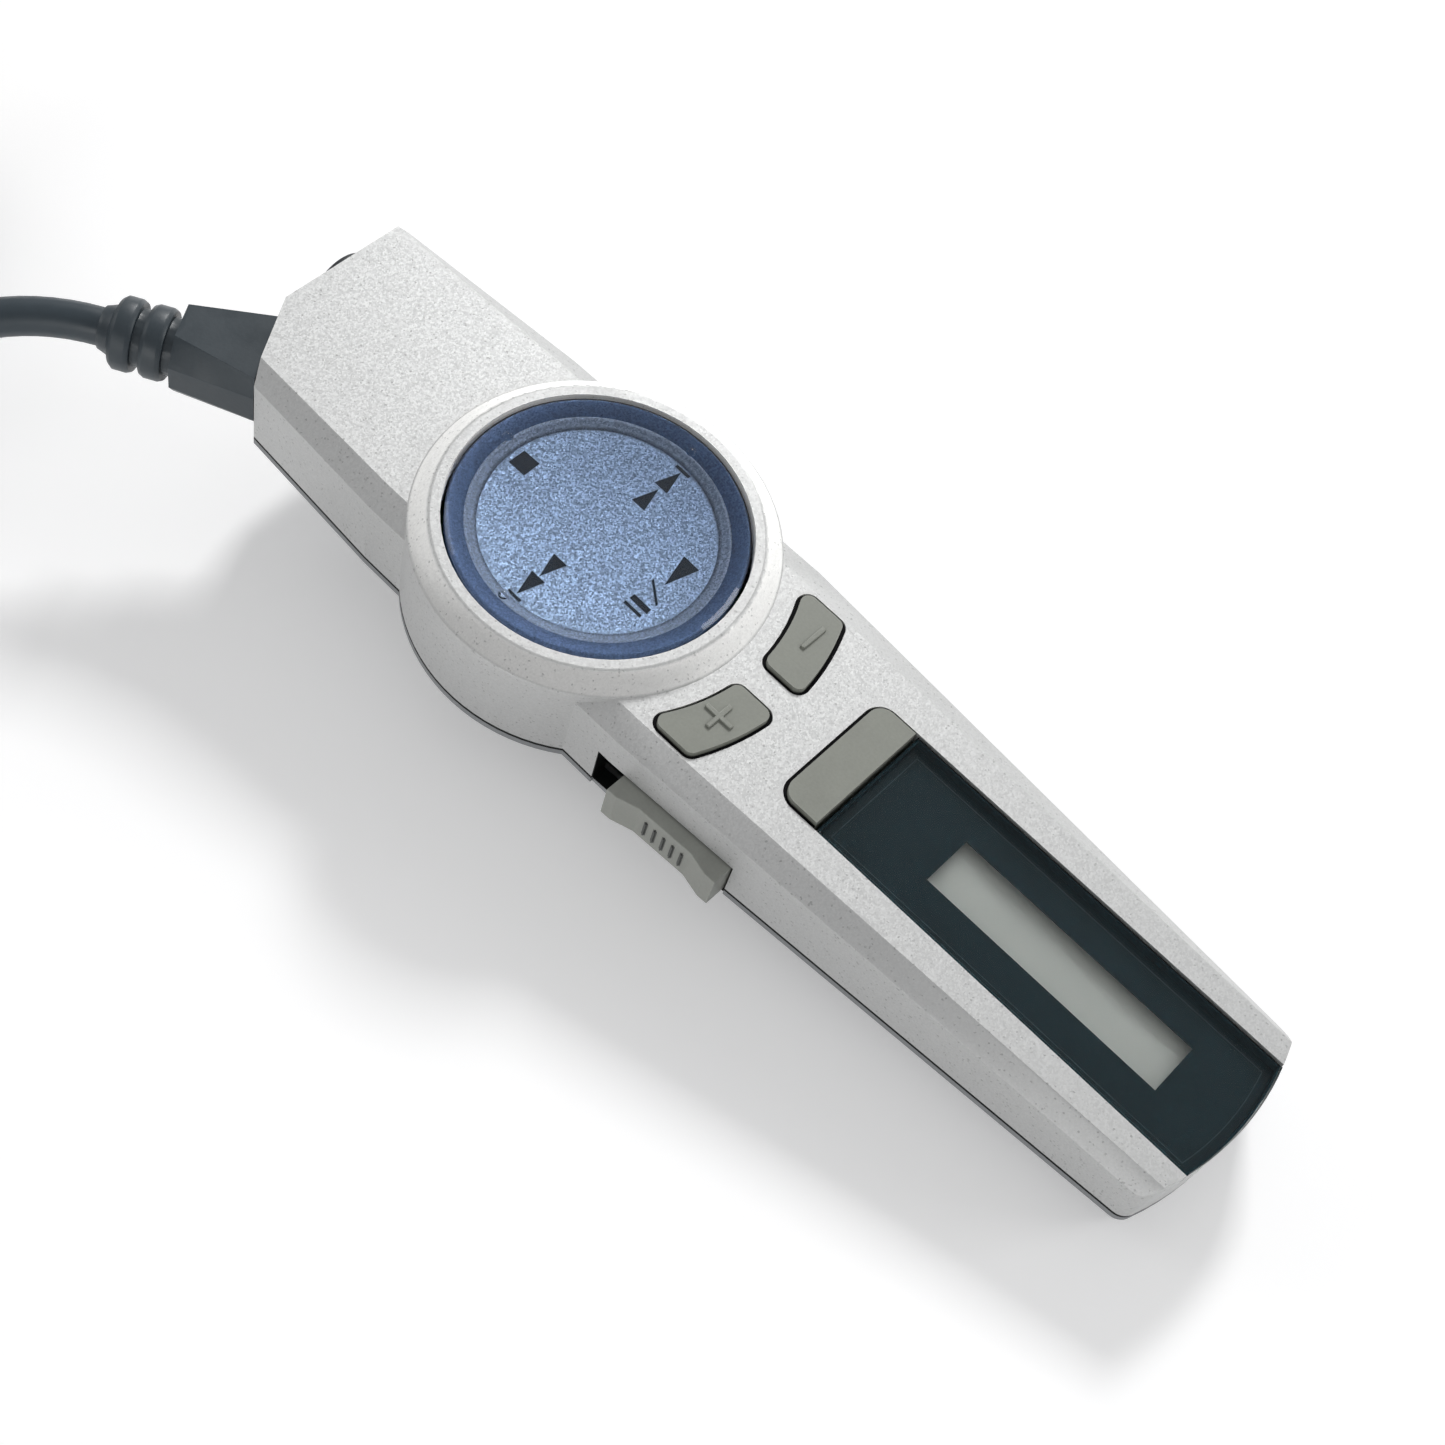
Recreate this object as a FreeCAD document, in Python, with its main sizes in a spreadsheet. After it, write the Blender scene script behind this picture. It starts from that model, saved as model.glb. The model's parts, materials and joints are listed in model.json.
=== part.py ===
import FreeCAD, Part
import math
import os
import re
import Sketcher
from FreeCAD import Placement, Rotation, Vector

# A wired remote control with a small display, for a portable disc player.
# Every piece is drawn in the case frame: the origin is the centre of the control disc on
# the flat face, +X to the right, +Y towards the cord end and +Z out of the face.
# The finished pieces are then laid down together, resting on the clip and the foot edge.

SIZES = [
    # plan of the case: stations along Y, and half widths along X
    ("foot_y", 54.8), ("top_y", 26.9), ("ring_y", 11.4),
    ("face_ring", 7.85), ("face_top", 7.31), ("face_foot", 6.62),
    ("side_up", 9.43), ("side_low", 9.65), ("side_top", 8.4), ("side_foot", 7.55),
    ("drop_up", 1.08), ("drop_low", 0.74), ("drop_top", 1.42), ("drop_foot", 1.25),
    ("foot_arc", 19.5), ("corner_x", 2.81), ("corner_turn", 31.4), ("corner_round", 1.1),
    # depths of the case below its face
    ("seam_ring", 6.9), ("seam_foot", 4.74), ("seam_gap", 0.12),
    ("rear_ring", 9.7), ("rear_foot", 7.1),
    ("rear_inset", 0.35), ("rear_tuck", 1.3), ("rear_shoulder", 1.1),
    ("wall", 1.2), ("roof", 1.2), ("gap", 0.15),
    # control disc, and round it the lip and the bulge of the case
    ("disc_r", 10.0), ("rim_z", 1.1), ("dome_z", 1.8), ("symbol_z", 0.2), ("plate_deep", 0.8),
    ("bead_in", 1.4), ("bead_size", 0.38), ("pad_in", 3.8), ("disc_gap", 0.25),
    ("lip_wide", 0.8), ("lip_z", 1.25), ("bulge_wide", 1.3),
    # tilting ring that carries the disc
    ("tilt_z", 2.0), ("ring_wide", 1.2), ("ring_deep", 0.8), ("ring_space", 1.3),
    ("trunnion_r", 0.4), ("trunnion_in", 0.65), ("running", 0.05), ("ear_wide", 1.5),
    ("lug_long", 0.65),
    # volume keys: ring sectors
    ("key_space", 1.25), ("key_wide", 3.7), ("key_near", 0.95), ("key_far", 7.6),
    ("key_rise", 0.3), ("key_skirt", 1.9), ("key_gap", 0.28), ("key_round", 0.6),
    ("flange", 0.5), ("flange_deep", 0.55),
    # mode key, window and display
    ("mode_space", 3.3), ("mode_long", 3.45), ("mode_half", 5.07), ("window_deep", 1.2),
    ("ledge_z", 2.2), ("ledge_half", 6.0), ("glass_half", 3.3), ("glass_space", 4.75),
    ("glass_foot", 3.6), ("glass_z", 2.0), ("glass_deep", 1.1), ("holder_half", 4.6),
    ("holder_rim", 1.2), ("holder_ledge", 0.6), ("strip_wide", 1.2), ("strip_in", 0.8),
    # board and switches
    ("board_z", 4.2), ("board_deep", 0.8), ("board_half", 7.0), ("board_foot", 5.5),
    ("board_rim", 0.3), ("board_top", 12.4), ("board_gap", 2.6), ("switch_half", 1.6),
    ("switch_deep", 0.5), ("button_r", 0.9), ("button_high", 0.3), ("press", 0.45),
    ("stem_r", 0.8), ("chip_deep", 0.9), ("controller_half", 3.5), ("controller_y", 36.5),
    ("amplifier_half", 2.75),
    # hold slider
    ("slot_start", 10.4), ("slot_end", 21.8), ("slot_high", 3.5), ("slot_low", 6.9),
    ("knob_long", 9.05), ("knob_out", 1.5), ("knob_scoop", 0.45), ("knob_lip", 0.8),
    ("knob_catch", 0.75), ("slide_space", 2.55), ("slide_wide", 2.5),
    # headphone jack
    ("jack_x", 2.95), ("jack_z", 3.6), ("jack_half", 2.4), ("jack_bore", 1.78),
    ("jack_in", 13.2), ("jack_nose", 2.55), ("nose_out", 0.9), ("bore_end", 14.6),
    # cord exit
    ("exit_z", 3.75), ("exit_shift", 0.35), ("block_wide", 6.1), ("block_high", 5.6),
    ("block_long", 6.1), ("block_neck", 4.9), ("cord_r", 1.35), ("rib_r", 2.55),
    ("groove_r", 2.0), ("groove_long", 0.65), ("rib_long", 1.5), ("sleeve_long", 1.0),
    ("neck_half", 1.7),
    # screws and posts
    ("boss_r", 1.35), ("pillar_r", 1.75), ("boss_z", 5.4), ("thread_r", 0.7), ("head_r", 1.1),
    ("head_deep", 0.8), ("screw_long", 5.0), ("screw_sink", 1.3), ("upper_x", 5.0),
    ("upper_y", 15.5), ("lower_x", 5.9), ("lower_space", 1.85), ("post_r", 1.0),
    # back clip
    ("clip_y", 3.0), ("pin_z", 11.3), ("pin_r", 0.5), ("ear_r", 1.05), ("ear_in", 2.5),
    ("ear_out", 3.8), ("cheek_in", 4.1), ("cheek_out", 5.3), ("clip_half", 5.6),
    ("jaw_y", 15.2), ("heel_y", 16.5), ("heel_z", 15.2), ("lever_deep", 1.1),
    ("tooth", 0.85), ("spring_half", 1.6), ("spring_thick", 0.3),
    # plug and coil on the far end of the cord
    ("plug_r", 1.75), ("plug_long", 14.0), ("grip_r", 3.9), ("grip_long", 12.0),
    ("relief_long", 7.0), ("relief_r", 2.3), ("band", 0.7), ("coil_out", 17.55),
    ("coil_in", 12.15), ("coil_high", 8.1), ("coil_soft", 1.2),
]

# Sizes that follow from others: what goes round the disc, and what lies below it in turn.
FITS = {
    "bead_r": "disc_r - bead_in", "pad_r": "disc_r - pad_in",
    "well_r": "disc_r + disc_gap", "lip_r": "well_r + lip_wide",
    "bulge_r": "lip_r + bulge_wide", "trunnion_end": "well_r + trunnion_in",
    "ring_out": "disc_r - ring_space", "ring_in": "ring_out - ring_wide",
    "lug_start": "ring_out + disc_gap", "board_disc": "disc_r + board_rim",
    "key_in": "bulge_r + key_space", "key_out": "key_in + key_wide",
    "mode_y": "key_out + mode_space", "mode_end": "mode_y + mode_long",
    "glass_start": "mode_end + glass_space", "glass_end": "foot_y - glass_foot",
    "lower_y": "mode_end + lower_space", "board_end": "foot_y - board_gap",
}

# The cord lies in the frame of the finished object, with the surface it rests on at z = 0.
# It leaves the exit, comes down to the surface and runs into the coil.
CORD_ROUTE = [
    (-18.8, 54.9, 13.3), (-25.5, 60.0, 9.6), (-32.5, 66.0, 4.2), (-36.6, 72.6, 1.45),
    (-36.84, 80.59, 1.35),
]
EXIT_RUN = 3.5
COIL_CENTRE = (-20.7, 82.0)
TAIL_ROUTE = [
    (-32.39, 88.75, 6.75), (-29.7, 92.2, 8.6), (-26.0, 94.2, 10.9), (-21.6, 94.3, 12.1),
]
PLUG_TURN = -90

doc = FreeCAD.newDocument("remote_control")
sheet = doc.addObject("Spreadsheet::Sheet", "Sizes")
for row, (alias, size) in enumerate(SIZES, start=1):
    sheet.set(f"A{row}", alias)
    sheet.set(f"B{row}", str(size))
    sheet.setAlias(f"B{row}", alias)
doc.recompute()
ALIASES = {alias for alias, size in SIZES}
X_WAY = Rotation(Vector(0, 1, 0), 90)
Y_WAY = Rotation(Vector(1, 0, 0), -90)
UP = Rotation()
pieces = []


# ---- drawing helpers -------------------------------------------------------------------

def spelled(text):
    """An expression with every size that follows from others written out in full."""
    def full(word):
        return f"({spelled(FITS[word.group()])})" if word.group() in FITS else word.group()
    return re.sub(r"[a-z_]+", full, str(text))


def value(text):
    """The present value of an expression written with the names of sizes."""
    return float(sheet.evalExpression(spelled(text)))


def bound(text):
    """The same expression, as another object of the document has to write it."""
    def named(word):
        return "Sizes." + word.group() if word.group() in ALIASES else word.group()
    return re.sub(r"[a-z_]+", named, spelled(text))


def place(sketch, geometry, point, x, y):
    """Ties a point of a sketch to expressions; None leaves that direction free."""
    for kind, size in (("DistanceX", x), ("DistanceY", y)):
        if size is not None:
            rule = Sketcher.Constraint(kind, -1, 1, geometry, point, value(size))
            sketch.setExpression(f"Constraints[{sketch.addConstraint(rule)}]", bound(size))


def outline(sketch, corners, arcs=None):
    """A closed outline. arcs maps an edge's number to its centre, radius and turn: 1 for
    anticlockwise, -1 for clockwise. A corner on an arc is held by its x alone."""
    arcs = arcs or {}
    count = len(corners)
    spots = [Vector(value(x), value(y), 0) for x, y in corners]
    edges = []
    for k in range(count):
        here, there = spots[k], spots[(k + 1) % count]
        if k not in arcs:
            edges.append((sketch.addGeometry(Part.LineSegment(here, there)), 1, 2))
            continue
        centre_x, centre_y, radius, turn = arcs[k]
        centre = Vector(value(centre_x), value(centre_y), 0)
        start, stop = (here, there) if turn > 0 else (there, here)
        angles = [math.atan2(p.y - centre.y, p.x - centre.x) for p in (start, stop)]
        full = Part.Circle(centre, Vector(0, 0, 1), value(radius))
        arc = sketch.addGeometry(Part.ArcOfCircle(full, angles[0], angles[1]))
        edges.append((arc, 1, 2) if turn > 0 else (arc, 2, 1))
        place(sketch, arc, 3, centre_x, centre_y)
        rule = sketch.addConstraint(Sketcher.Constraint("Radius", arc, value(radius)))
        sketch.setExpression(f"Constraints[{rule}]", bound(radius))
    for k, (edge, first, last) in enumerate(edges):
        after, after_first, _ = edges[(k + 1) % count]
        sketch.addConstraint(Sketcher.Constraint("Coincident", edge, last, after, after_first))
        on_arc = k in arcs or (k - 1) % count in arcs
        place(sketch, edge, first, corners[k][0], None if on_arc else corners[k][1])
    return sketch


def circle(sketch, x, y, radius):
    ring = sketch.addGeometry(Part.Circle(Vector(), Vector(0, 0, 1), value(radius)))
    place(sketch, ring, 3, x, y)
    rule = sketch.addConstraint(Sketcher.Constraint("Radius", ring, value(radius)))
    sketch.setExpression(f"Constraints[{rule}]", bound(radius))
    return sketch


def rectangle(sketch, x0, y0, x1, y1):
    return outline(sketch, [(x0, y0), (x1, y0), (x1, y1), (x0, y1)])


def new_body(name):
    return doc.addObject("PartDesign::Body", name)


def on_plane(body, role, offset="0"):
    """A sketch on one of the body's own origin planes, offset along that plane's normal."""
    plane = next(f for f in body.Origin.OriginFeatures if f.Role == role)
    sketch = body.newObject("Sketcher::SketchObject", body.Name + "_sketch")
    sketch.AttachmentSupport = [(plane, "")]
    sketch.MapMode = "FlatFace"
    sketch.setExpression("AttachmentOffset.Base.z", bound(offset))
    return sketch


def level(body, height="0"):
    """A sketch parallel to the face, at a height."""
    return on_plane(body, "XY_Plane", height)


def profile(body, offset="0"):
    """A side-view sketch whose x is the frame's Y and whose y is the frame's Z."""
    return on_plane(body, "YZ_Plane", offset)


def station(body, y="0"):
    """A cross-section sketch at a place along Y; its x is X and its y is Z."""
    return on_plane(body, "XZ_Plane", f"-({y})")


def grow(body, sketch, length, midplane=False, down=False):
    pad = body.newObject("PartDesign::Pad", body.Name + "_pad")
    pad.Profile = sketch
    pad.setExpression("Length", bound(length))
    pad.Midplane = midplane
    pad.Reversed = down
    doc.recompute()
    return pad


def sink(body, sketch, depth, midplane=False, up=False):
    before = body.Shape.Volume
    pocket = body.newObject("PartDesign::Pocket", body.Name + "_pocket")
    pocket.Profile = sketch
    pocket.setExpression("Length", bound(depth))
    pocket.Midplane = midplane
    pocket.Reversed = up
    doc.recompute()
    if body.Shape.Volume > before - 1e-6:
        raise ValueError(f"a pocket in {body.Name} cuts nothing")
    return pocket


def revolve(body, sketch, axis="V_Axis"):
    turned = body.newObject("PartDesign::Revolution", body.Name + "_revolution")
    turned.Profile = sketch
    turned.ReferenceAxis = (sketch, [axis])
    turned.Angle = 360
    doc.recompute()
    return turned


def loft(body, sections):
    lofted = body.newObject("PartDesign::AdditiveLoft", body.Name + "_loft")
    lofted.Profile = sections[0]
    lofted.Sections = sections[1:]
    lofted.Ruled = True
    doc.recompute()
    return lofted


def edges_where(feature, test):
    """The names of a feature's edges whose midpoint and shape pass a test."""
    names = []
    for number, edge in enumerate(feature.Shape.Edges, start=1):
        middle = edge.valueAt((edge.FirstParameter + edge.LastParameter) / 2)
        if test(edge, middle):
            names.append(f"Edge{number}")
    return names


def soften(body, test, radius, kind="Fillet"):
    """Rounds or chamfers the edges of the body's tip that pass a test."""
    base = body.Tip
    names = edges_where(base, test)
    if not names:
        raise ValueError(f"no edge of {body.Name} to soften")
    dressed = body.newObject("PartDesign::" + kind, body.Name + "_" + kind.lower())
    dressed.Base = (base, names)
    size = "Radius" if kind == "Fillet" else "Size"
    dressed.setExpression(size, bound(radius))
    doc.recompute()
    return dressed


def box(name, low, high):
    """A block between two corners, each three expressions."""
    block = doc.addObject("Part::Box", name)
    for axis, side, a, b in zip("xyz", ("Length", "Width", "Height"), low, high):
        block.setExpression(side, bound(f"({b}) - ({a})"))
        block.setExpression(f"Placement.Base.{axis}", bound(a))
    return block


def rod(name, start, radius, length, way=UP):
    """A cylinder from a start point along Z, or along the way given."""
    cylinder = doc.addObject("Part::Cylinder", name)
    cylinder.Placement = Placement(Vector(), way)
    cylinder.setExpression("Radius", bound(radius))
    cylinder.setExpression("Height", bound(length))
    for axis, at in zip("xyz", start):
        cylinder.setExpression(f"Placement.Base.{axis}", bound(at))
    return cylinder


def fuse(name, shapes):
    joined = doc.addObject("Part::MultiFuse", name)
    joined.Shapes = shapes
    joined.Refine = True
    return joined


def cut(name, base, tool):
    result = doc.addObject("Part::Cut", name)
    result.Base = base
    result.Tool = tool
    result.Refine = True
    return result


def piece(label, shape):
    """Names a finished sub-part, which is one node of the object."""
    shape.Label = label
    pieces.append(shape)
    return shape


# ---- places worked out from the sizes ---------------------------------------------------

def along_low(at_ring, at_foot, y):
    """A size that tapers from the ring station to the foot, at a distance y below centre."""
    return f"(({at_ring}) + (({at_foot}) - ({at_ring})) * (({y}) - ring_y) / (foot_y - ring_y))"


def side_at(y):
    return along_low("side_low", "side_foot", y)


def rear_at(y):
    return along_low("rear_ring", "rear_foot", y)


def corner_point(inward, along):
    """A point on the clipped corner's line, or inward of it, along it towards the top."""
    x = f"(-corner_x - ({along}) * cos(corner_turn) + ({inward}) * sin(corner_turn))"
    y = f"(top_y - ({along}) * sin(corner_turn) - ({inward}) * cos(corner_turn))"
    return x, y


def clip_corner(body, inward, depth):
    """Cuts the body back to a line parallel to the clipped corner."""
    tool = outline(level(body, "3"), [
        corner_point(inward, "-9"), corner_point(inward, "14"),
        corner_point("-9", "14"), corner_point("-9", "-9")])
    return sink(body, tool, depth)


def round_foot(body, inward, depth):
    """Cuts the foot end to its arc, drawn in by a wall or an inset."""
    end = f"(foot_y - ({inward}))"
    arc_y = f"(-{end} + foot_arc)"
    reach = "(side_foot + 2)"
    edge_y = f"({arc_y} - sqrt(foot_arc ^ 2 - {reach} ^ 2))"
    corners = [(reach, edge_y), (f"-{reach}", edge_y), (f"-{reach}", f"-{end} - 9"),
               (reach, f"-{end} - 9")]
    tool = outline(level(body, "3"), corners, {0: ("0", arc_y, "foot_arc", -1)})
    return sink(body, tool, depth)


def case_section(body, y, half_face, half_side, drop, depth, top="0"):
    """The case's six-sided cross-section: face, two facets, two sides and the base."""
    side_z = f"-({drop}) - ({top})"
    return outline(station(body, y), [
        (f"-({half_side})", f"-({depth})"), (half_side, f"-({depth})"),
        (half_side, side_z), (half_face, f"-({top})"),
        (f"-({half_face})", f"-({top})"), (f"-({half_side})", side_z)])


# ---- front casing -----------------------------------------------------------------------

def front_form():
    body = new_body("front_form")
    loft(body, [
        case_section(body, "top_y", "face_top", "side_top", "drop_top", "seam_ring"),
        case_section(body, "ring_y", "face_ring", "side_up", "drop_up", "seam_ring"),
        case_section(body, "-ring_y", "face_ring", "side_low", "drop_low", "seam_ring"),
        case_section(body, "-foot_y", "face_foot", "side_foot", "drop_foot", "seam_foot")])
    revolve(body, outline(station(body), [
        ("0", "-seam_ring"), ("bulge_r", "-seam_ring"), ("bulge_r", "0"),
        ("lip_r", "lip_z"), ("0", "lip_z")]))
    clip_corner(body, "0", "seam_ring + 6")
    round_foot(body, "0", "seam_ring + 6")
    foot = -value("foot_y - 4")
    soften(body, lambda edge, p: p.y < foot and abs(p.x) > value("side_foot - 0.6")
           and abs(edge.tangentAt(edge.FirstParameter).z) > 0.9, "corner_round")
    soften(body, lambda edge, p: edge.BoundBox.DiagonalLength > value("lip_r")
           and abs(p.z - value("lip_z")) < 1e-3, "roof / 3")
    return body


def front_hollow():
    body = new_body("front_hollow")
    def section(y, face, side, drop, seam):
        return case_section(body, y, f"{face} - wall / 2", f"{side} - wall", drop,
                            f"{seam} + 3", "roof")
    loft(body, [
        section("top_y - wall", "face_top", "side_top", "drop_top", "seam_ring"),
        section("ring_y", "face_ring", "side_up", "drop_up", "seam_ring"),
        section("-ring_y", "face_ring", "side_low", "drop_low", "seam_ring"),
        section("-foot_y", "face_foot", "side_foot", "drop_foot", "seam_foot")])
    grow(body, circle(level(body, "-seam_ring - 3"), "0", "0", "bulge_r - wall"),
         "seam_ring + 3 - roof")
    clip_corner(body, "wall", "seam_ring + 9")
    round_foot(body, "wall", "seam_ring + 9")
    return body


def screw_places():
    """Each screw's name, x, distance below centre and the case's depth there."""
    return [("upper", "-upper_x", "-upper_y", "rear_ring"),
            ("left", "-lower_x", "lower_y", rear_at("lower_y")),
            ("right", "lower_x", "lower_y", rear_at("lower_y"))]


def front_fittings():
    """What stands on the inside of the front: window ledge, screw bosses, disc bearings."""
    ledge_end = "foot_y - wall / 2"
    parts = [box("ledge", ("-ledge_half", f"-({ledge_end}) + 1", "-ledge_z"),
                 ("ledge_half", "-mode_end", "-roof / 2"))]
    for name, x, y, _ in screw_places():
        parts.append(rod(name + "_boss", (x, f"-({y})", "-boss_z"), "boss_r",
                         "boss_z - roof / 2"))
    for name, start in (("left", "-bulge_r + wall / 2"), ("right", "well_r + 0.1")):
        parts.append(box(name + "_bearing", (start, "-ear_wide / 2", "-tilt_z - 1"),
                         (f"{start} + bulge_r - wall / 2 - well_r - 0.1", "ear_wide / 2",
                          "-roof / 2")))
    return fuse("front_fittings", parts)


def key_outline(sketch, side, in_r, out_r, near, far):
    """A ring sector below the disc; side is 1 for +X and -1 for -X."""
    def corner(x, radius):
        return f"{side} * ({x})", f"-sqrt(({radius}) ^ 2 - ({x}) ^ 2)"
    corners = [corner(near, out_r), corner(far, out_r), corner(far, in_r), corner(near, in_r)]
    return outline(sketch, corners, {0: ("0", "0", out_r, side), 2: ("0", "0", in_r, -side)})


def upright(edge, middle):
    """Whether an edge runs straight out of the face."""
    return abs(edge.tangentAt(edge.FirstParameter).z) > 0.9


def prism(name, z, length, draw):
    """A drawn outline raised from a height z by a length."""
    body = new_body(name)
    grow(body, draw(level(body, z)), length)
    return body


def front_openings():
    reach = "roof + 3"
    tools = [rod("well", ("0", "0", "-roof - 1"), "well_r", "roof + lip_z + 2")]
    for name, side in (("left", -1), ("right", 1)):
        hole = prism(name + "_key_hole", "-ledge_z", "ledge_z + 1",
                     lambda s, side=side: key_outline(
                         s, side, "key_in", "key_out", "key_near", "key_far"))
        soften(hole, upright, "key_round + key_gap")
        tools.append(hole)
    tools.append(box("mode_hole", ("-mode_half", "-mode_end", f"-({reach})"),
                     ("mode_half", "-mode_y", "1")))
    tools.append(box("window_seat", ("-mode_half", "-foot_y - 1", "-window_deep - 0.05"),
                     ("mode_half", "-mode_end + 0.01", "1")))
    tools.append(box("glass_hole",
                     ("-glass_half - gap", "-glass_end - gap", "-ledge_z - 1"),
                     ("glass_half + gap", "-glass_start + gap", "0")))
    tools.append(slot_tool("front_slot"))
    tools.append(rod("nose_hole", ("jack_x", "top_y - wall - 1", "-jack_z"),
                     "jack_nose + gap / 2", "wall + 3", Y_WAY))
    tools.append(neck_tool("front_neck_hole", "neck_half + gap / 2"))
    for name, x, y, _ in screw_places():
        tools.append(rod(name + "_pilot", (x, f"-({y})", "-boss_z - 1"), "thread_r - 0.1",
                         "screw_long - 0.6"))
    tools.append(rod("bearing_line", ("-trunnion_end - 0.2", "0", "-tilt_z"),
                     "trunnion_r + running", "2 * trunnion_end + 0.4", X_WAY))
    return fuse("front_openings", tools)


def slot_tool(name):
    return box(name, ("-side_low - 2", "-slot_end", "-slot_low"),
               ("-side_low + wall + 1", "-slot_start", "-slot_high"))


def neck_tool(name, half):
    """A square hole square to the clipped corner, for the cord exit's neck."""
    body = new_body(name)
    corners = [corner_point("-2", exit_along(f"-({half})")),
               corner_point("-2", exit_along(half)),
               corner_point("wall + 1.5", exit_along(half)),
               corner_point("wall + 1.5", exit_along(f"-({half})"))]
    grow(body, outline(level(body, f"-exit_z - ({half})"), corners), f"2 * ({half})")
    return body


def exit_along(offset):
    """Distance along the clipped corner from its top end to the cord exit's centre line."""
    width = "(side_top - corner_x + 0.25) / cos(corner_turn)"
    return f"({width} / 2 + exit_shift + ({offset}))"


def front_casing():
    shell = cut("front_shell", front_form(), front_hollow())
    fitted = fuse("front_fitted", [shell, front_fittings()])
    return piece("front_casing", cut("front_casing", fitted, front_openings()))


# ---- rear casing ------------------------------------------------------------------------

def rear_section(body, y, half_side, seam, rear):
    side = f"({half_side} - rear_inset)"
    low = f"({side} - rear_tuck)"
    return outline(station(body, y), [
        (f"-{low}", f"-({rear})"), (low, f"-({rear})"),
        (side, f"-({seam} + rear_shoulder)"), (side, f"-({seam} + seam_gap)"),
        (f"-{side}", f"-({seam} + seam_gap)"), (f"-{side}", f"-({seam} + rear_shoulder)")])


def rear_form():
    body = new_body("rear_form")
    loft(body, [
        rear_section(body, "top_y - rear_inset", "side_top", "seam_ring", "rear_ring"),
        rear_section(body, "ring_y", "side_up", "seam_ring", "rear_ring"),
        rear_section(body, "-ring_y", "side_low", "seam_ring", "rear_ring"),
        rear_section(body, "-foot_y", "side_foot", "seam_foot", "rear_foot")])
    side = "(bulge_r - rear_inset)"
    revolve(body, outline(station(body), [
        ("0", "-rear_ring"), (f"{side} - rear_tuck", "-rear_ring"),
        (side, "-seam_ring - rear_shoulder"), (side, "-seam_ring - seam_gap"),
        ("0", "-seam_ring - seam_gap")]))
    clip_corner(body, "rear_inset", "rear_ring + 9")
    round_foot(body, "rear_inset", "rear_ring + 9")
    return body


def rear_hollow():
    body = new_body("rear_hollow")
    def section(y, side, rear):
        half = f"({side} - rear_inset - wall)"
        floor = f"-({rear} - wall)"
        tuck = "(rear_tuck / 2)"
        return outline(station(body, y), [
            (f"-{half} + {tuck}", floor), (f"{half} - {tuck}", floor),
            (half, f"{floor} + 0.8"), (half, "0"), (f"-{half}", "0"),
            (f"-{half}", f"{floor} + 0.8")])
    loft(body, [
        section("top_y - rear_inset - wall", "side_top", "rear_ring"),
        section("ring_y", "side_up", "rear_ring"),
        section("-ring_y", "side_low", "rear_ring"),
        section("-foot_y", "side_foot", "rear_foot")])
    grow(body, circle(level(body, "-rear_ring + wall"), "0", "0",
                      "bulge_r - rear_inset - wall - rear_tuck / 2"), "rear_ring - wall")
    clip_corner(body, "rear_inset + wall", "rear_ring + 9")
    round_foot(body, "rear_inset + wall", "rear_ring + 9")
    return body


def rear_fittings():
    """Screw pillars, board posts, the jack's cradle and the clip's two ears."""
    parts = []
    for name, x, y, rear in screw_places():
        parts.append(rod(name + "_pillar", (x, f"-({y})", f"-({rear}) + wall / 2"), "pillar_r",
                         f"({rear}) - wall / 2 - boss_z - 0.1"))
    posts = [("left", "-pad_r - 2.2", "4"), ("right", "pad_r + 2.2", "4"),
             ("foot", "0", "-board_end + 2.2")]
    for name, x, y in posts:
        rear = rear_at("board_end") if name == "foot" else "rear_ring"
        parts.append(rod(name + "_post", (x, y, f"-({rear}) + wall / 2"), "post_r",
                         f"({rear}) - wall / 2 - board_z - board_deep - 0.05"))
    parts.append(box("jack_cradle",
                     ("jack_x - jack_half", "jack_in + 2", "-rear_ring + wall / 2"),
                     ("jack_x + jack_half", "jack_in + 7", "-jack_z - jack_half - 0.05")))
    for name, start in (("left", "-ear_out"), ("right", "ear_in")):
        parts.append(rod(name + "_ear", (start, "clip_y", "-pin_z"), "ear_r",
                         "ear_out - ear_in", X_WAY))
        parts.append(box(name + "_ear_root",
                         (start, "clip_y - ear_r", "-pin_z"),
                         (f"{start} + ear_out - ear_in", "clip_y + ear_r",
                          "-rear_ring + wall / 2")))
    return fuse("rear_fittings", parts)


def rear_openings():
    tools = [slot_tool("rear_slot"), neck_tool("rear_neck_hole", "neck_half + gap / 2"),
             rod("rear_nose_hole", ("jack_x", "top_y - wall - 1", "-jack_z"),
                 "jack_nose + gap", "wall + 3", Y_WAY),
             rod("pin_hole", ("-ear_out - 1", "clip_y", "-pin_z"), "pin_r",
                 "2 * ear_out + 2", X_WAY)]
    for name, x, y, rear in screw_places():
        tools.append(rod(name + "_shank_hole", (x, f"-({y})", f"-({rear}) - 1"),
                         "thread_r + gap", f"({rear}) + 1"))
        tools.append(rod(name + "_head_hole", (x, f"-({y})", f"-({rear}) - 1"),
                         "head_r + gap", "1 + screw_sink"))
    return fuse("rear_openings", tools)


def rear_casing():
    shell = cut("rear_shell", rear_form(), rear_hollow())
    fitted = fuse("rear_fitted", [shell, rear_fittings()])
    return piece("rear_casing", cut("rear_casing", fitted, rear_openings()))


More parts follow.
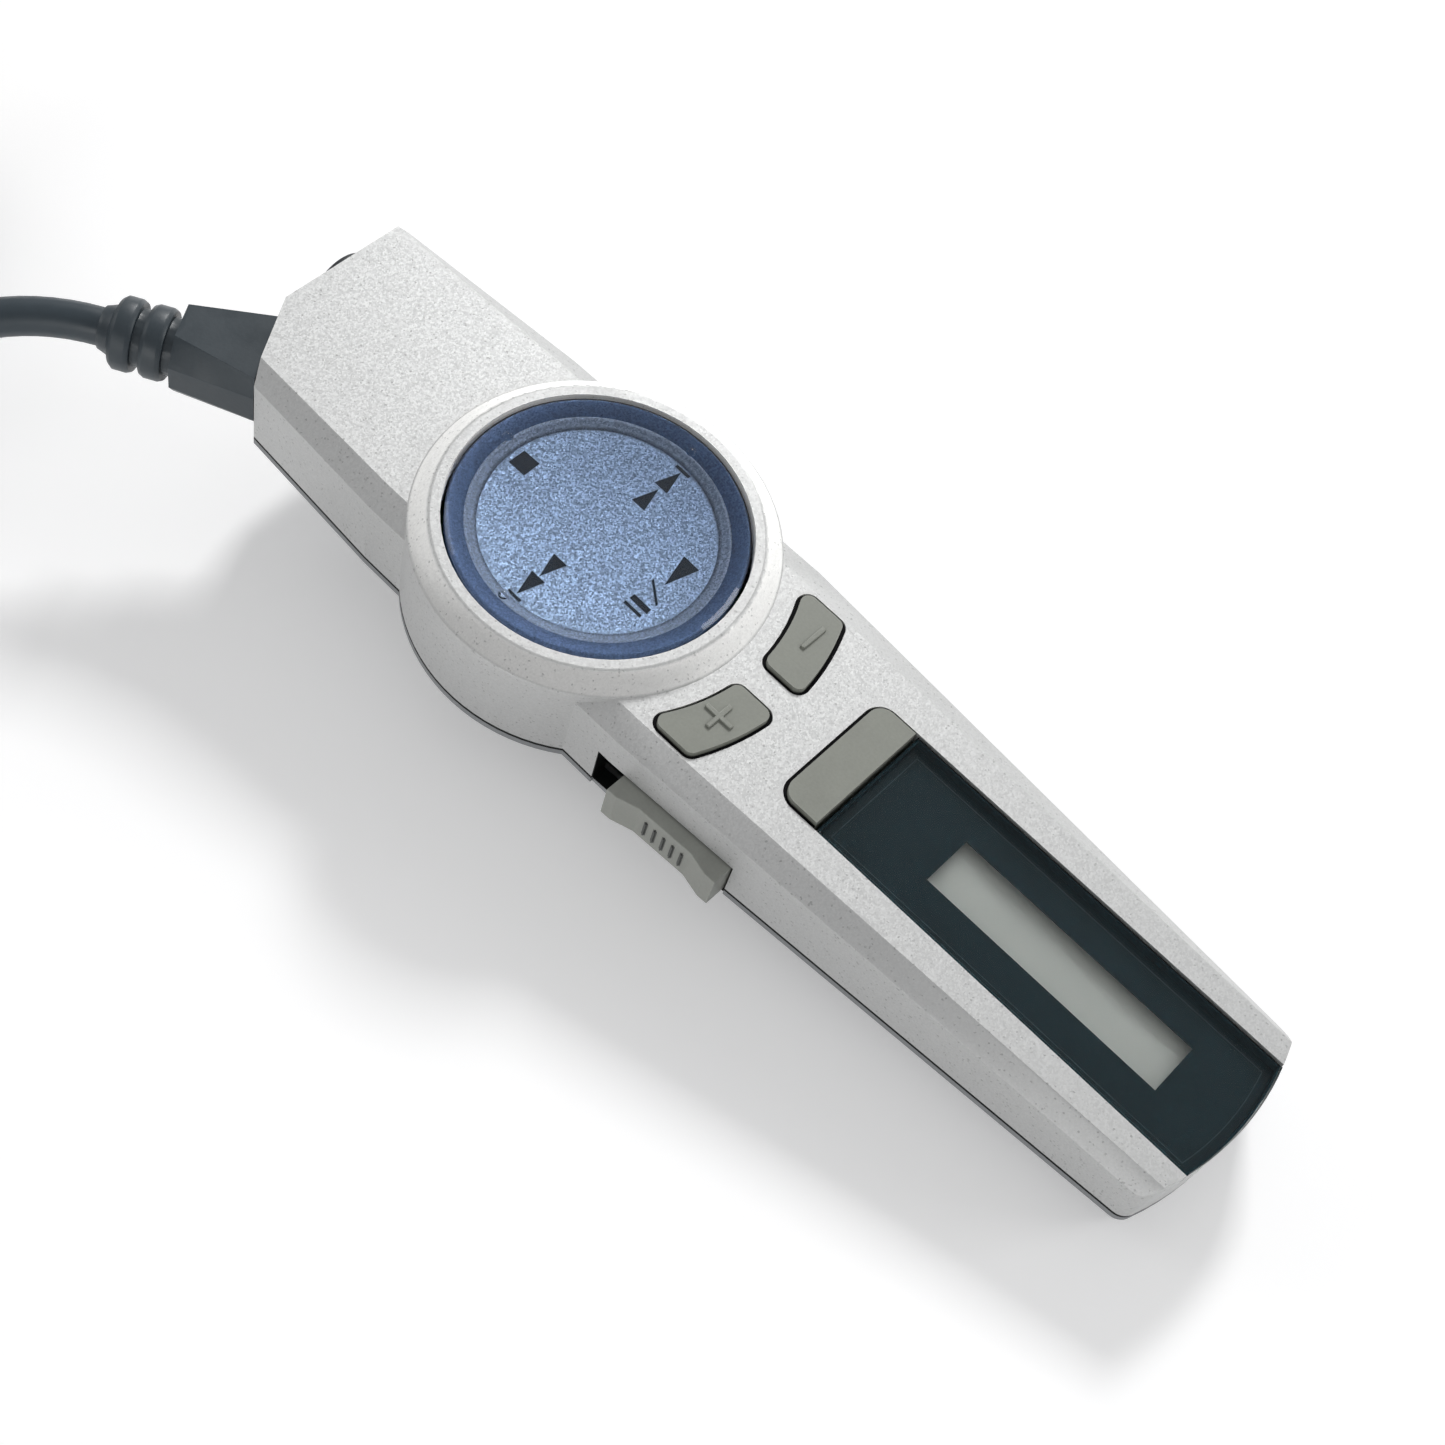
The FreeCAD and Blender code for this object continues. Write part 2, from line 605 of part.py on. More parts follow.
def screws():
    for name, x, y, rear in screw_places():
        body = new_body(name + "_screw")
        seat = f"(-({rear}) + screw_sink)"
        revolve(body, outline(station(body), [
            ("0", f"{seat} - head_deep"), ("head_r - 0.2", f"{seat} - head_deep"),
            ("head_r", f"{seat} - head_deep / 2"), ("head_r", seat), ("thread_r - 0.12", seat),
            ("thread_r - 0.12", f"{seat} + screw_long - 0.5"), ("0.2", f"{seat} + screw_long"),
            ("0", f"{seat} + screw_long")]))
        piece(name + "_screw", body)
        own[body.Name] = Placement(Vector(value(x), -value(y), 0), UP)


# ---- control disc -----------------------------------------------------------------------

def stem_end():
    """The height of a stem's end at rest, just above the button of its switch."""
    return "(-board_z + switch_deep + button_high + press)"


def control_cap():
    body = new_body("cap_lens")
    under = "-symbol_z + 0.05"
    rise = "(dome_z - rim_z - 0.2)"
    reach = "(disc_r - 0.3)"
    dome_r = f"(({reach} ^ 2 + {rise} ^ 2) / (2 * {rise}))"
    revolve(body, outline(station(body), [
        ("0", under), ("disc_r - 0.15", under), ("disc_r", f"{under} + 0.15"),
        ("disc_r", "rim_z"), (reach, "rim_z + 0.2"), ("0", "dome_z")],
        {4: ("0", f"dome_z - {dome_r}", dome_r, 1)}))
    beads = [body_bead(x, y) for x, y in (("0", "bead_r"), ("bead_r", "0"), ("-bead_r", "0"))]
    return piece("control_cap", fuse("control_cap", [body] + beads))


def body_bead(x, y):
    bead = doc.addObject("Part::Sphere", "bead")
    bead.setExpression("Radius", bound("bead_size"))
    for axis, at in zip("xyz", (x, y, "rim_z + 0.22")):
        bead.setExpression(f"Placement.Base.{axis}", bound(at))
    return bead


def control_plate():
    """The silver carrier under the cap, with four stems and the two lugs of its pivot."""
    body = new_body("plate_disc")
    revolve(body, outline(station(body), [
        ("0", "-symbol_z"), ("disc_r - 0.2", "-symbol_z"), ("disc_r - 0.2", "-symbol_z - 0.4"),
        ("disc_r - 0.6", "-symbol_z - plate_deep"), ("0", "-symbol_z - plate_deep")]))
    under = "-symbol_z - plate_deep + 0.1"
    parts = [body]
    for name, x, y in disc_pads():
        parts.append(rod(name + "_stem", (x, y, stem_end()), "stem_r",
                         f"{under} - {stem_end()}"))
    for name, start in (("top", "lug_start"), ("foot", "-lug_start - lug_long")):
        parts.append(box(name + "_lug", ("-ear_wide / 2", start, "-tilt_z - 2 * trunnion_r"),
                         ("ear_wide / 2", f"{start} + lug_long", under)))
    holes = rod("lug_holes", ("0", "-disc_r", "-tilt_z"), "trunnion_r + running",
                "2 * disc_r", Y_WAY)
    return piece("control_plate", cut("control_plate", fuse("plate_solid", parts), holes))


def disc_pads():
    return [("stop", "0", "pad_r"), ("forward", "-pad_r", "0"),
            ("play", "0", "-pad_r"), ("back", "pad_r", "0")]


def tilt_ring():
    """The ring between the case and the disc: two pins along X, two along Y."""
    ring = new_body("tilt_ring_band")
    sketch = level(ring, "-tilt_z - ring_deep / 2")
    circle(sketch, "0", "0", "ring_out")
    circle(sketch, "0", "0", "ring_in")
    grow(ring, sketch, "ring_deep")
    root = "(ring_out - ring_wide / 4)"
    across = f"(trunnion_end - {root})"
    along = f"(lug_start + lug_long + running - {root})"
    pins = [rod("pin_left", ("-trunnion_end", "0", "-tilt_z"), "trunnion_r", across, X_WAY),
            rod("pin_right", (root, "0", "-tilt_z"), "trunnion_r", across, X_WAY),
            rod("pin_top", ("0", root, "-tilt_z"), "trunnion_r", along, Y_WAY),
            rod("pin_foot", ("0", f"-{root} - {along}", "-tilt_z"), "trunnion_r", along, Y_WAY)]
    return piece("tilt_ring", fuse("tilt_ring", [ring] + pins))


# ---- keys and their switches --------------------------------------------------------------

def key_spot(side):
    return f"{side} * (key_near + key_far) / 2", "-(key_in + key_out) / 2 + 0.75"


def volume_key(label, side):
    cap = prism(label + "_cap", "-key_skirt", "key_skirt + key_rise",
                lambda s: key_outline(s, side, "key_in + key_gap", "key_out - key_gap",
                                      "key_near + key_gap", "key_far - key_gap"))
    soften(cap, upright, "key_round")
    flange = prism(label + "_flange", "-key_skirt", "flange_deep",
                   lambda s: key_outline(s, side, "key_in - flange", "key_out + flange",
                                         "key_near - flange", "key_far - 0.6"))
    x, y = key_spot(side)
    stem = rod(label + "_stem", (x, y, stem_end()), "stem_r", f"-key_skirt + 0.1 - {stem_end()}")
    return piece(label, fuse(label, [cap, flange, stem]))


def mode_key():
    cap = new_body("mode_cap")
    half = "(mode_half - key_gap)"
    grow(cap, rectangle(level(cap, "-key_skirt"), f"-{half}", "-mode_end + gap",
                        half, "-mode_y - key_gap"), "key_skirt + key_rise")
    ring_side = -value("mode_y + 1")
    soften(cap, lambda edge, p: p.y > ring_side and upright(edge, p), "corner_round")
    flange = box("mode_flange", (f"-{half} - flange", "-mode_end + gap", "-key_skirt"),
                 (f"{half} + flange", "-mode_y + flange", "-key_skirt + flange_deep"))
    stem = rod("mode_stem", ("0", "-(mode_y + mode_end) / 2", stem_end()), "stem_r",
               f"-key_skirt + 0.1 - {stem_end()}")
    return piece("mode_button", fuse("mode_button", [cap, flange, stem]))


def switches():
    """A dome switch on the board under every place that is pressed."""
    spots = disc_pads() + [("volume_up",) + key_spot(-1), ("volume_down",) + key_spot(1),
                           ("mode", "0", "-(mode_y + mode_end) / 2")]
    for name, x, y in spots:
        case = box(name + "_switch_case",
                   (f"{x} - switch_half", f"{y} - switch_half", "-board_z"),
                   (f"{x} + switch_half", f"{y} + switch_half", "-board_z + switch_deep"))
        button = rod(name + "_switch_button", (x, y, "-board_z + switch_deep / 2"),
                     "button_r", "switch_deep / 2 + button_high")
        piece(name + "_switch", fuse(name + "_switch", [case, button]))


# ---- board, window and display ------------------------------------------------------------

def circuit_board():
    body = new_body("circuit_board")
    deep = "-board_z - board_deep"
    grow(body, outline(level(body, deep), [
        ("-board_half + 1", "board_top"), ("-board_half", "board_top - 1"),
        ("-board_half", "-ring_y"), ("-board_foot", "-board_end"),
        ("board_foot", "-board_end"), ("board_half", "-ring_y"),
        ("board_half", "board_top - 1"), ("board_half - 1", "board_top")]), "board_deep")
    grow(body, circle(level(body, deep), "0", "0", "board_disc"), "board_deep")
    for name, x, y, _ in screw_places()[1:]:
        sink(body, circle(level(body, deep), x, f"-({y})", "boss_r + 0.3"),
             "board_deep + 1", up=True)
    return piece("circuit_board", body)


def display_window():
    body = new_body("display_window")
    half = "(mode_half - gap / 2)"
    inner = "(foot_y - 4)"
    grow(body, rectangle(level(body, "-window_deep"), f"-{half}", "-foot_y - 1", half,
                         "-mode_end - gap / 2"), "window_deep")
    round_foot(body, "0", "window_deep + 6")
    top = -1e-4
    soften(body, lambda edge, p: p.z > top and p.y > -value(inner), "gap", "Chamfer")
    return piece("display_window", body)


def display():
    panel = new_body("display_panel")
    grow(panel, rectangle(level(panel, "-glass_z - glass_deep"), "-glass_half", "-glass_end",
                          "glass_half", "-glass_start"), "glass_deep")
    piece("display_panel", panel)
    top = "(-glass_z - glass_deep - 0.05)"
    holder = new_body("display_holder")
    grow(holder, rectangle(level(holder, "-board_z"), "-holder_half", "-glass_end - holder_rim",
                           "holder_half", "-glass_start + holder_rim"), f"board_z + {top}")
    sink(holder, rectangle(level(holder, top), "-glass_half + holder_ledge",
                           "-glass_end + holder_ledge", "glass_half - holder_ledge",
                           "-glass_start - holder_ledge"), f"board_z + {top} + 1")
    piece("display_holder", holder)
    low = "-board_z + running"
    foot, head = "-glass_end + strip_in + gap", "-glass_start - strip_in - gap"
    strip_x = "-glass_half + strip_in"
    piece("contact_strip", box("contact_strip", (strip_x, foot, low),
                               (f"{strip_x} + strip_wide", head, top)))
    piece("light_guide", box("light_guide", (f"{strip_x} + strip_wide + 2 * gap", foot, low),
                             ("glass_half - strip_in", head, top)))


def chips():
    under = "-board_z - board_deep"
    for name, half, y in (("controller", "controller_half", "-controller_y"),
                          ("amplifier", "amplifier_half", "0")):
        piece(name + "_chip", box(name + "_chip",
                                  (f"-{half}", f"{y} - {half}", f"{under} - chip_deep"),
                                  (half, f"{y} + {half}", under)))


# ---- hold slider ----------------------------------------------------------------------------

def wall_point(out, y):
    """A point at a distance y below centre, out from the -X side wall of the case."""
    return f"-({side_at(y)} + ({out}))", f"-({y})"


def hold_slider():
    """The sliding knob: a scooped grip outside the wall and a flange behind it."""
    start = "(slot_end - knob_long - gap)"
    end = "(slot_end - gap)"
    knob = new_body("hold_knob")
    low = "-slot_low + gap"
    high = "(slot_low - slot_high - 2 * gap)"
    grow(knob, outline(level(knob, low), [
        wall_point("-wall - 0.3", start), wall_point("-wall - 0.3", end),
        wall_point("knob_out", end), wall_point("knob_out", f"{end} - knob_lip"),
        wall_point("knob_out - knob_scoop", f"{end} - 3 * knob_lip"),
        wall_point("knob_out - knob_scoop", f"{start} + 3 * knob_lip"),
        wall_point("knob_out", f"{start} + knob_lip"), wall_point("knob_out", start)]), high)
    flange = new_body("hold_flange")
    grow(flange, outline(level(flange, "-slot_low + knob_catch"), [
        wall_point("-wall - 0.2", f"{start} - 0.8"), wall_point("-wall - 0.2", f"{end} + 0.8"),
        wall_point("-wall - 0.6", f"{end} + 0.8"), wall_point("-wall - 0.6", f"{start} - 0.8")]),
        "slot_low - knob_catch - slot_high + 0.3")
    fork = new_body("hold_fork")
    middle = f"({start} + {end}) / 2"
    grow(fork, outline(level(fork, "-slot_low + 0.5"), [
        wall_point("-wall - 0.4", f"{middle} - 0.8"), wall_point("-wall - 0.4", f"{middle} + 0.8"),
        wall_point("-wall - 1.8", f"{middle} + 0.8"),
        wall_point("-wall - 1.8", f"{middle} - 0.8")]), "0.7")
    return piece("hold_slider", fuse("hold_slider", [knob, flange, fork]))


def hold_switch():
    under = "-board_z - board_deep"
    middle = "(slot_end - knob_long / 2 - gap)"
    outer = "(-side_low + slide_space)"
    case = box("hold_case", (outer, f"-{middle} - 3", f"{under} - 2.1"),
               (f"{outer} + slide_wide", f"-{middle} + 5.2", under))
    groove = box("hold_groove", (f"{outer} - 0.9", f"-{middle} - 1.4", "-slot_low + 0.2"),
                 (f"{outer} + 1.3", f"-{middle} + 3.6", "-slot_low + 1.5"))
    return piece("hold_switch", cut("hold_switch", case, groove))


# ---- headphone jack and cord exit -----------------------------------------------------------

def headphone_jack():
    block = box("jack_block", ("jack_x - jack_half", "jack_in", "-jack_z - jack_half"),
                ("jack_x + jack_half", "top_y - wall - 0.05", "-jack_z + jack_half"))
    nose = rod("jack_nose_rod", ("jack_x", "top_y - wall - 0.2", "-jack_z"), "jack_nose",
               "wall + 0.2 + nose_out", Y_WAY)
    bore = rod("jack_bore_rod", ("jack_x", "bore_end", "-jack_z"), "jack_bore",
               "top_y + nose_out + 1 - bore_end", Y_WAY)
    return piece("headphone_jack", cut("headphone_jack", fuse("jack_solid", [block, nose]), bore))


def jack_contacts():
    """Three spring leaves on the jack's underside, soldered to the board's edge."""
    leaves = []
    for number, x in enumerate(("jack_x - 1.6", "jack_x", "jack_x + 1.6")):
        leaves.append(box(f"leaf_{number}", (f"{x} - 0.35", "board_top - 0.9", "-board_z"),
                          (f"{x} + 0.35", "jack_in", "-board_z + 0.25")))
    return piece("jack_contacts", fuse("jack_contacts", leaves))


def exit_placement():
    """Where the cord exit sits: its own +Y runs out of the clipped corner."""
    x, y = corner_point("0", exit_along("0"))
    turn = Rotation(Vector(0, 0, 1), value("corner_turn"))
    return Placement(Vector(value(x), value(y), -value("exit_z")), turn)


def exit_length():
    return "(block_long + 2 * groove_long + 2 * rib_long + sleeve_long)"


def cord_exit():
    """The moulded strain relief, drawn about its own axis along Y."""
    body = new_body("exit_block")
    def octagon(y, wide, high, ridge, shoulder):
        w, h = f"(({wide}) / 2)", f"(({high}) / 2)"
        return outline(station(body, y), [
            (f"-{w} * 0.7", f"-{h}"), (f"{w} * 0.7", f"-{h}"), (w, f"-{h} / 2"),
            (w, f"{h} / 2"), (f"{w} * {shoulder}", h), (f"-{w} * {ridge}", h),
            (f"-{w}", f"{h} * 0.35"), (f"-{w}", f"-{h} / 2")])
    loft(body, [octagon("0.05", "block_wide", "block_high", 0.9, 0.92),
                octagon("block_long", "block_neck", "block_neck", 0.35, 0.8)])
    ribs = new_body("exit_ribs")
    steps = [("0", "block_long - 1"), ("groove_r", "block_long - 1")]
    rib_start = "block_long"
    for _ in range(2):
        rib_start = f"{rib_start} + groove_long"
        rib_stop = f"{rib_start} + rib_long"
        steps += [("groove_r", rib_start), ("rib_r - 0.15", rib_start),
                  ("rib_r", f"{rib_start} + 0.3"), ("rib_r", f"{rib_stop} - 0.3"),
                  ("rib_r - 0.15", rib_stop), ("groove_r", rib_stop)]
        rib_start = rib_stop
    steps = steps[:-2] + [("rib_r - 0.25", rib_stop), ("cord_r + 0.45", f"{rib_stop} + 0.2"),
                          ("cord_r + 0.15", exit_length()), ("0", exit_length())]
    revolve(ribs, outline(level(ribs), steps))
    neck = box("exit_neck", ("-neck_half", "-rear_inset - wall - 0.4", "-neck_half"),
               ("neck_half", "0.2", "neck_half"))
    flange = box("exit_flange",
                 ("-neck_half - 0.6", "-rear_inset - wall - 1.2", "-neck_half - 0.6"),
                 ("neck_half + 0.6", "-rear_inset - wall - 0.15", "neck_half + 0.6"))
    solid = fuse("cord_exit", [body, ribs, neck, flange])
    own[solid.Name] = exit_placement()
    return piece("cord_exit", solid)


# ---- back clip --------------------------------------------------------------------------------

def lever_line(y, above="0"):
    """The height of the lever's flat underside, or above it, at a place y."""
    slope = "((heel_z - rear_foot) / (heel_y + foot_y))"
    return f"(-heel_z + {slope} * (heel_y - ({y})) + ({above}))"


def clip_lever():
    plate = new_body("lever_plate")
    tooth_y = "(-jaw_y + 1.4)"
    grow(plate, outline(profile(plate), [
        ("-jaw_y", lever_line("-jaw_y", "0.3")), ("-jaw_y + 0.5", lever_line("-jaw_y + 0.5")),
        ("heel_y - 0.5", lever_line("heel_y - 0.5")), ("heel_y", lever_line("heel_y", "0.4")),
        ("heel_y", lever_line("heel_y", "lever_deep")),
        (tooth_y, lever_line(tooth_y, "lever_deep")),
        ("-jaw_y + 0.8", lever_line("-jaw_y", "lever_deep + tooth")),
        ("-jaw_y", lever_line("-jaw_y", "lever_deep + tooth"))]), "2 * clip_half",
        midplane=True)
    parts = [plate]
    for name, start in (("left", "-cheek_out"), ("right", "cheek_in")):
        wide = "(cheek_out - cheek_in)"
        parts.append(rod(name + "_cheek", (start, "clip_y", "-pin_z"), "ear_r + 0.2", wide,
                         X_WAY))
        root = new_body(name + "_cheek_root")
        grow(root, outline(profile(root, start), [
            ("clip_y - ear_r - 2.4", lever_line("clip_y - ear_r - 2.4", "0.4")),
            ("clip_y + ear_r + 2.4", lever_line("clip_y + ear_r + 2.4", "0.4")),
            ("clip_y + ear_r + 0.2", "-pin_z"), ("clip_y - ear_r - 0.2", "-pin_z")]), wide)
        parts.append(root)
    hole = rod("lever_hole", ("-cheek_out - 1", "clip_y", "-pin_z"), "pin_r + running",
               "2 * cheek_out + 2", X_WAY)
    return piece("clip_lever", cut("clip_lever", fuse("lever_solid", parts), hole))


def clip_pin():
    pin = rod("clip_pin", ("-cheek_out", "clip_y", "-pin_z"), "pin_r", "2 * cheek_out", X_WAY)
    return piece("clip_pin", pin)


def clip_spring():
    """A bent leaf under the press end: its short foot lies on the case."""
    body = new_body("clip_spring")
    foot = "(-rear_ring - 0.05)"
    end_y = "(heel_y - 2.6)"
    reach = f"({lever_line(end_y, 'lever_deep')} + spring_thick + 0.08)"
    grow(body, outline(profile(body), [
        ("clip_y + 2.2", foot), ("clip_y + 2.2", f"{foot} - spring_thick"),
        ("clip_y + 5.6", f"{foot} - spring_thick"), (f"{end_y} - 0.5", f"{reach} - spring_thick"),
        (end_y, f"{reach} - spring_thick"), (end_y, reach), (f"{end_y} - 0.4", reach),
        ("clip_y + 5.8", foot)]), "2 * spring_half", midplane=True)
    return piece("clip_spring", body)


# ---- cord, coil and plug -----------------------------------------------------------------------

def rounded_path(points):
    """Straight runs joined by tangent arcs, each as large as its two runs allow."""
    points = [Vector(*p) for p in points]
    edges = []
    radii = []
    start = points[0]
    for before, here, after in zip(points, points[1:], points[2:]):
        run_in, run_out = here - before, after - here
        turn = run_in.getAngle(run_out)
        reach = 0.45 * min(run_in.Length, run_out.Length)
        radii.append(reach / math.tan(turn / 2))
        run_in.normalize()
        run_out.normalize()
        first, last = here - run_in * reach, here + run_out * reach
        inward = run_out - run_in
        inward.normalize()
        middle = here + inward * (radii[-1] / math.cos(turn / 2) - radii[-1])
        edges.append(Part.LineSegment(start, first).toShape())
        edges.append(Part.Arc(first, middle, last).toShape())
        start = last
    edges.append(Part.LineSegment(start, points[-1]).toShape())
    return Part.Wire(edges), radii


def cord_tube(label, points):
    """A plain tube along a route, checked against its section times its length."""
    path, radii = rounded_path(points)
    radius = value("cord_r")
    heading = Vector(*points[1]) - Vector(*points[0])
    section = Part.Wire(Part.Circle(Vector(*points[0]), heading, radius).toShape())
    tube = doc.addObject("Part::Feature", label)
    tube.Shape = path.makePipeShell([section], True, True)
    wanted = math.pi * radius ** 2 * path.Length
    print(label, "radii", [round(r, 1) for r in radii], "length", round(path.Length, 1),
          "volume over section times length", round(tube.Shape.Volume / wanted, 4))
    laid.append(tube)
    return piece(label, tube)


def cord(exit_end, exit_way):
    first = exit_end + exit_way * EXIT_RUN
    cord_tube("cord", [tuple(exit_end), tuple(first)] + CORD_ROUTE)
    cord_tube("cord_tail", TAIL_ROUTE)
    coil = new_body("cord_coil")
    revolve(coil, outline(station(coil), [
        ("coil_in", "coil_soft"), ("coil_in + coil_soft", "0"), ("coil_out - coil_soft", "0"),
        ("coil_out", "coil_soft"), ("coil_out", "coil_high - coil_soft"),
        ("coil_out - coil_soft", "coil_high"), ("coil_in + coil_soft", "coil_high"),
        ("coil_in", "coil_high - coil_soft")]))
    coil.Placement = Placement(Vector(*COIL_CENTRE, 0), UP)
    laid.append(piece("cord_coil", coil))


def plug():
    """A four-pole plug, drawn about its own axis along Y and laid on the coil."""
    where = Placement(Vector(*TAIL_ROUTE[-1]), Rotation(Vector(0, 0, 1), PLUG_TURN))
    grip = new_body("plug_grip")
    start = "relief_long"
    stop = "(relief_long + grip_long)"
    revolve(grip, outline(level(grip), [
        ("0", "0"), ("cord_r + 0.2", "0"), ("relief_r", start), ("grip_r - 0.8", start),
        ("grip_r", f"{start} + 1"), ("grip_r", f"{stop} - 0.6"), ("grip_r - 0.6", stop),
        ("0", stop)]))
    contacts = new_body("plug_contacts")
    tip = f"({stop} + plug_long)"
    core = "(plug_r - 0.5)"
    revolve(contacts, outline(level(contacts), [
        ("0", stop), ("plug_r", stop), ("plug_r", f"{tip} - 7.6"), (core, f"{tip} - 7.6"),
        (core, f"{tip} - 7.6 + band"), ("plug_r", f"{tip} - 7.6 + band"),
        ("plug_r", f"{tip} - 5.6"), (core, f"{tip} - 5.6"), (core, f"{tip} - 5.6 + band"),
        ("plug_r", f"{tip} - 5.6 + band"), ("plug_r", f"{tip} - 3.8"),
        (core, f"{tip} - 3.8"), (core, f"{tip} - 3.8 + band"),
        ("plug_r - 0.1", f"{tip} - 3.8 + band"), ("plug_r - 0.55", f"{tip} - 2.4"),
        ("plug_r - 0.05", f"{tip} - 1.6"), ("0.3", tip), ("0", tip)]))
    bands = []
    for number, back in enumerate(("7.6", "5.6", "3.8")):
        band = new_body(f"band_{number}")
        ring = on_plane(band, "XZ_Plane", f"-({tip} - {back})")
        circle(ring, "0", "0", "plug_r - 0.02")
        circle(ring, "0", "0", core)
        grow(band, ring, "band", down=True)
        bands.append(band)
    for label, solid in (("plug_grip", grip), ("plug_contacts", contacts),
                         ("plug_bands", fuse("plug_bands", bands))):
        doc.recompute()
        solid.Placement = where
        laid.append(piece(label, solid))


own = {}
laid = []
front_casing()
rear_casing()
screws()
control_cap()
control_plate()
tilt_ring()
volume_key("volume_up_button", -1)
volume_key("volume_down_button", 1)
mode_key()
switches()
circuit_board()
display_window()
display()
chips()
hold_slider()
hold_switch()
headphone_jack()
jack_contacts()
cord_exit()
clip_lever()
clip_pin()
clip_spring()
doc.recompute()


# ---- laying the object down, checks and files ---------------------------------------------------

def lowest(shape, tilt):
    """The lowest point of a shape when the case is turned about X."""
    moved = shape.Shape.copy()
    moved.Placement = tilt.multiply(shape.Placement)
    return moved.optimalBoundingBox(False, False).ZMin


def rest_tilt():
    """The turn about X at which the clip's heel and the foot's edge are level."""
    by_label = {shape.Label: shape for shape in pieces}
    span = value("heel_y + foot_y")
    turn = math.degrees(math.atan2(value("heel_z - rear_foot"), span))
    for _ in range(4):
        tilt = Placement(Vector(), Rotation(Vector(1, 0, 0), turn))
        step = lowest(by_label["rear_casing"], tilt) - lowest(by_label["clip_lever"], tilt)
        turn += math.degrees(step / span)
    return Placement(Vector(), Rotation(Vector(1, 0, 0), turn))


def rest_placement():
    tilt = rest_tilt()
    bounds = FreeCAD.BoundBox()
    for shape in pieces:
        local = own.get(shape.Name, Placement())
        moved = shape.Shape.copy()
        moved.Placement = tilt.multiply(local.multiply(shape.Placement))
        if shape.Label != "cord_exit":
            bounds.add(moved.optimalBoundingBox(False, False))
    centre = bounds.Center
    return Placement(Vector(-centre.x, -centre.y, -bounds.ZMin), Rotation()).multiply(tilt)


rest = rest_placement()
exit_at = rest.multiply(exit_placement())
exit_start, exit_end = exit_at.Base, exit_at.multVec(Vector(0, value(exit_length()), 0))
cord(exit_end, (exit_end - exit_start).normalize())
plug()
for shape in pieces:
    if shape in laid:
        continue
    local = own.get(shape.Name, Placement())
    shape.Placement = rest.multiply(local.multiply(shape.Placement))

for item in doc.Objects:
    if "Invalid" in item.State or "Error" in item.State:
        raise ValueError(f"{item.Name} failed: {item.State}")

os.makedirs("parts", exist_ok=True)
for shape in pieces:
    if shape.Shape.isNull() or not shape.Shape.isValid():
        raise ValueError(f"{shape.Label} has no valid shape")
    shape.Shape.exportStep(f"parts/{shape.Label}.step")
    print(f"{shape.Label}: {len(shape.Shape.Solids)} solid, {shape.Shape.Volume:.2f} mm3")
print("rest", tuple(rest.Base), "tilt", math.degrees(rest.Rotation.Angle))
print("exit end", tuple(exit_end))
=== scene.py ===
import json
import math

import bmesh
import bpy
from mathutils import Matrix, Vector


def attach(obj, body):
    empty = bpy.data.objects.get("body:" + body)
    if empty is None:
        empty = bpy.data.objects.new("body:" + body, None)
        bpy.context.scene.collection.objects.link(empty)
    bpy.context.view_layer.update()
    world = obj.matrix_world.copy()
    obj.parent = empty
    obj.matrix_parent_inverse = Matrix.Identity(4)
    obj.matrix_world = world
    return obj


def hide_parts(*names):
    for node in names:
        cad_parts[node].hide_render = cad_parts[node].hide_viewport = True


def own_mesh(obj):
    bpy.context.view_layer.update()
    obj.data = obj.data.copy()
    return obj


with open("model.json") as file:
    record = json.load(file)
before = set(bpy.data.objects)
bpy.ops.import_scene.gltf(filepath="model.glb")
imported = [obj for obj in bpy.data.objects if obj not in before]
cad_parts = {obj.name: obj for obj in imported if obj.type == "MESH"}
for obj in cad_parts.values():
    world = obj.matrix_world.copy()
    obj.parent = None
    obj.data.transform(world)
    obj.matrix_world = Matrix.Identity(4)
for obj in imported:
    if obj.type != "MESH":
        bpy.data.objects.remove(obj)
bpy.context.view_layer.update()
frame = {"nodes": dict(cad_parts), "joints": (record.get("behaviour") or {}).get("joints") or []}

# The remote's own axes: the origin is the centre of the control disc on the flat face,
# X to the right, Y towards the cord end and Z out of the face. Its sizes are millimetres.
MM = 0.001
PIVOT_DEPTH = 2.0

joints = {joint["name"]: joint for joint in frame["joints"]}
face_out = -Vector(joints["mode_press"]["axis"]).normalized()
across = Vector((1, 0, 0))
along = face_out.cross(across)
disc_centre = Vector(joints["disc_tilt_skip"]["pos_m"]) + face_out * PIVOT_DEPTH * MM
case_axes = (Matrix.Translation(disc_centre)
             @ Matrix((across, along, face_out)).transposed().to_4x4()
             @ Matrix.Scale(MM, 4))


def case_box(node):
    """Lowest and highest corner of a CAD node in the remote's own axes."""
    to_case = case_axes.inverted()
    points = [to_case @ vertex.co for vertex in frame["nodes"][node].data.vertices]
    return (Vector([min(p[k] for p in points) for k in range(3)]),
            Vector([max(p[k] for p in points) for k in range(3)]))


# ---- camera ---------------------------------------------------------------------------------

CAMERA_AT = Vector((-69.8, -46.96, 127.85)) * MM
CAMERA_AIM = Vector((2.57, 2.53, 0)) * MM
CAMERA_ROLL = math.radians(10.14)
CAMERA_LENS = 56.18


def add_camera():
    camera = bpy.data.objects.new("camera", bpy.data.cameras.new("camera"))
    camera.data.lens = CAMERA_LENS
    camera.data.clip_start = 0.01
    aim = (CAMERA_AIM - CAMERA_AT).to_track_quat("-Z", "Y").to_matrix()
    turned = (aim @ Matrix.Rotation(CAMERA_ROLL, 3, "Z")).to_4x4()
    camera.matrix_world = Matrix.Translation(CAMERA_AT) @ turned
    bpy.context.scene.collection.objects.link(camera)
    bpy.context.scene.camera = camera


# ---- cord -----------------------------------------------------------------------------------

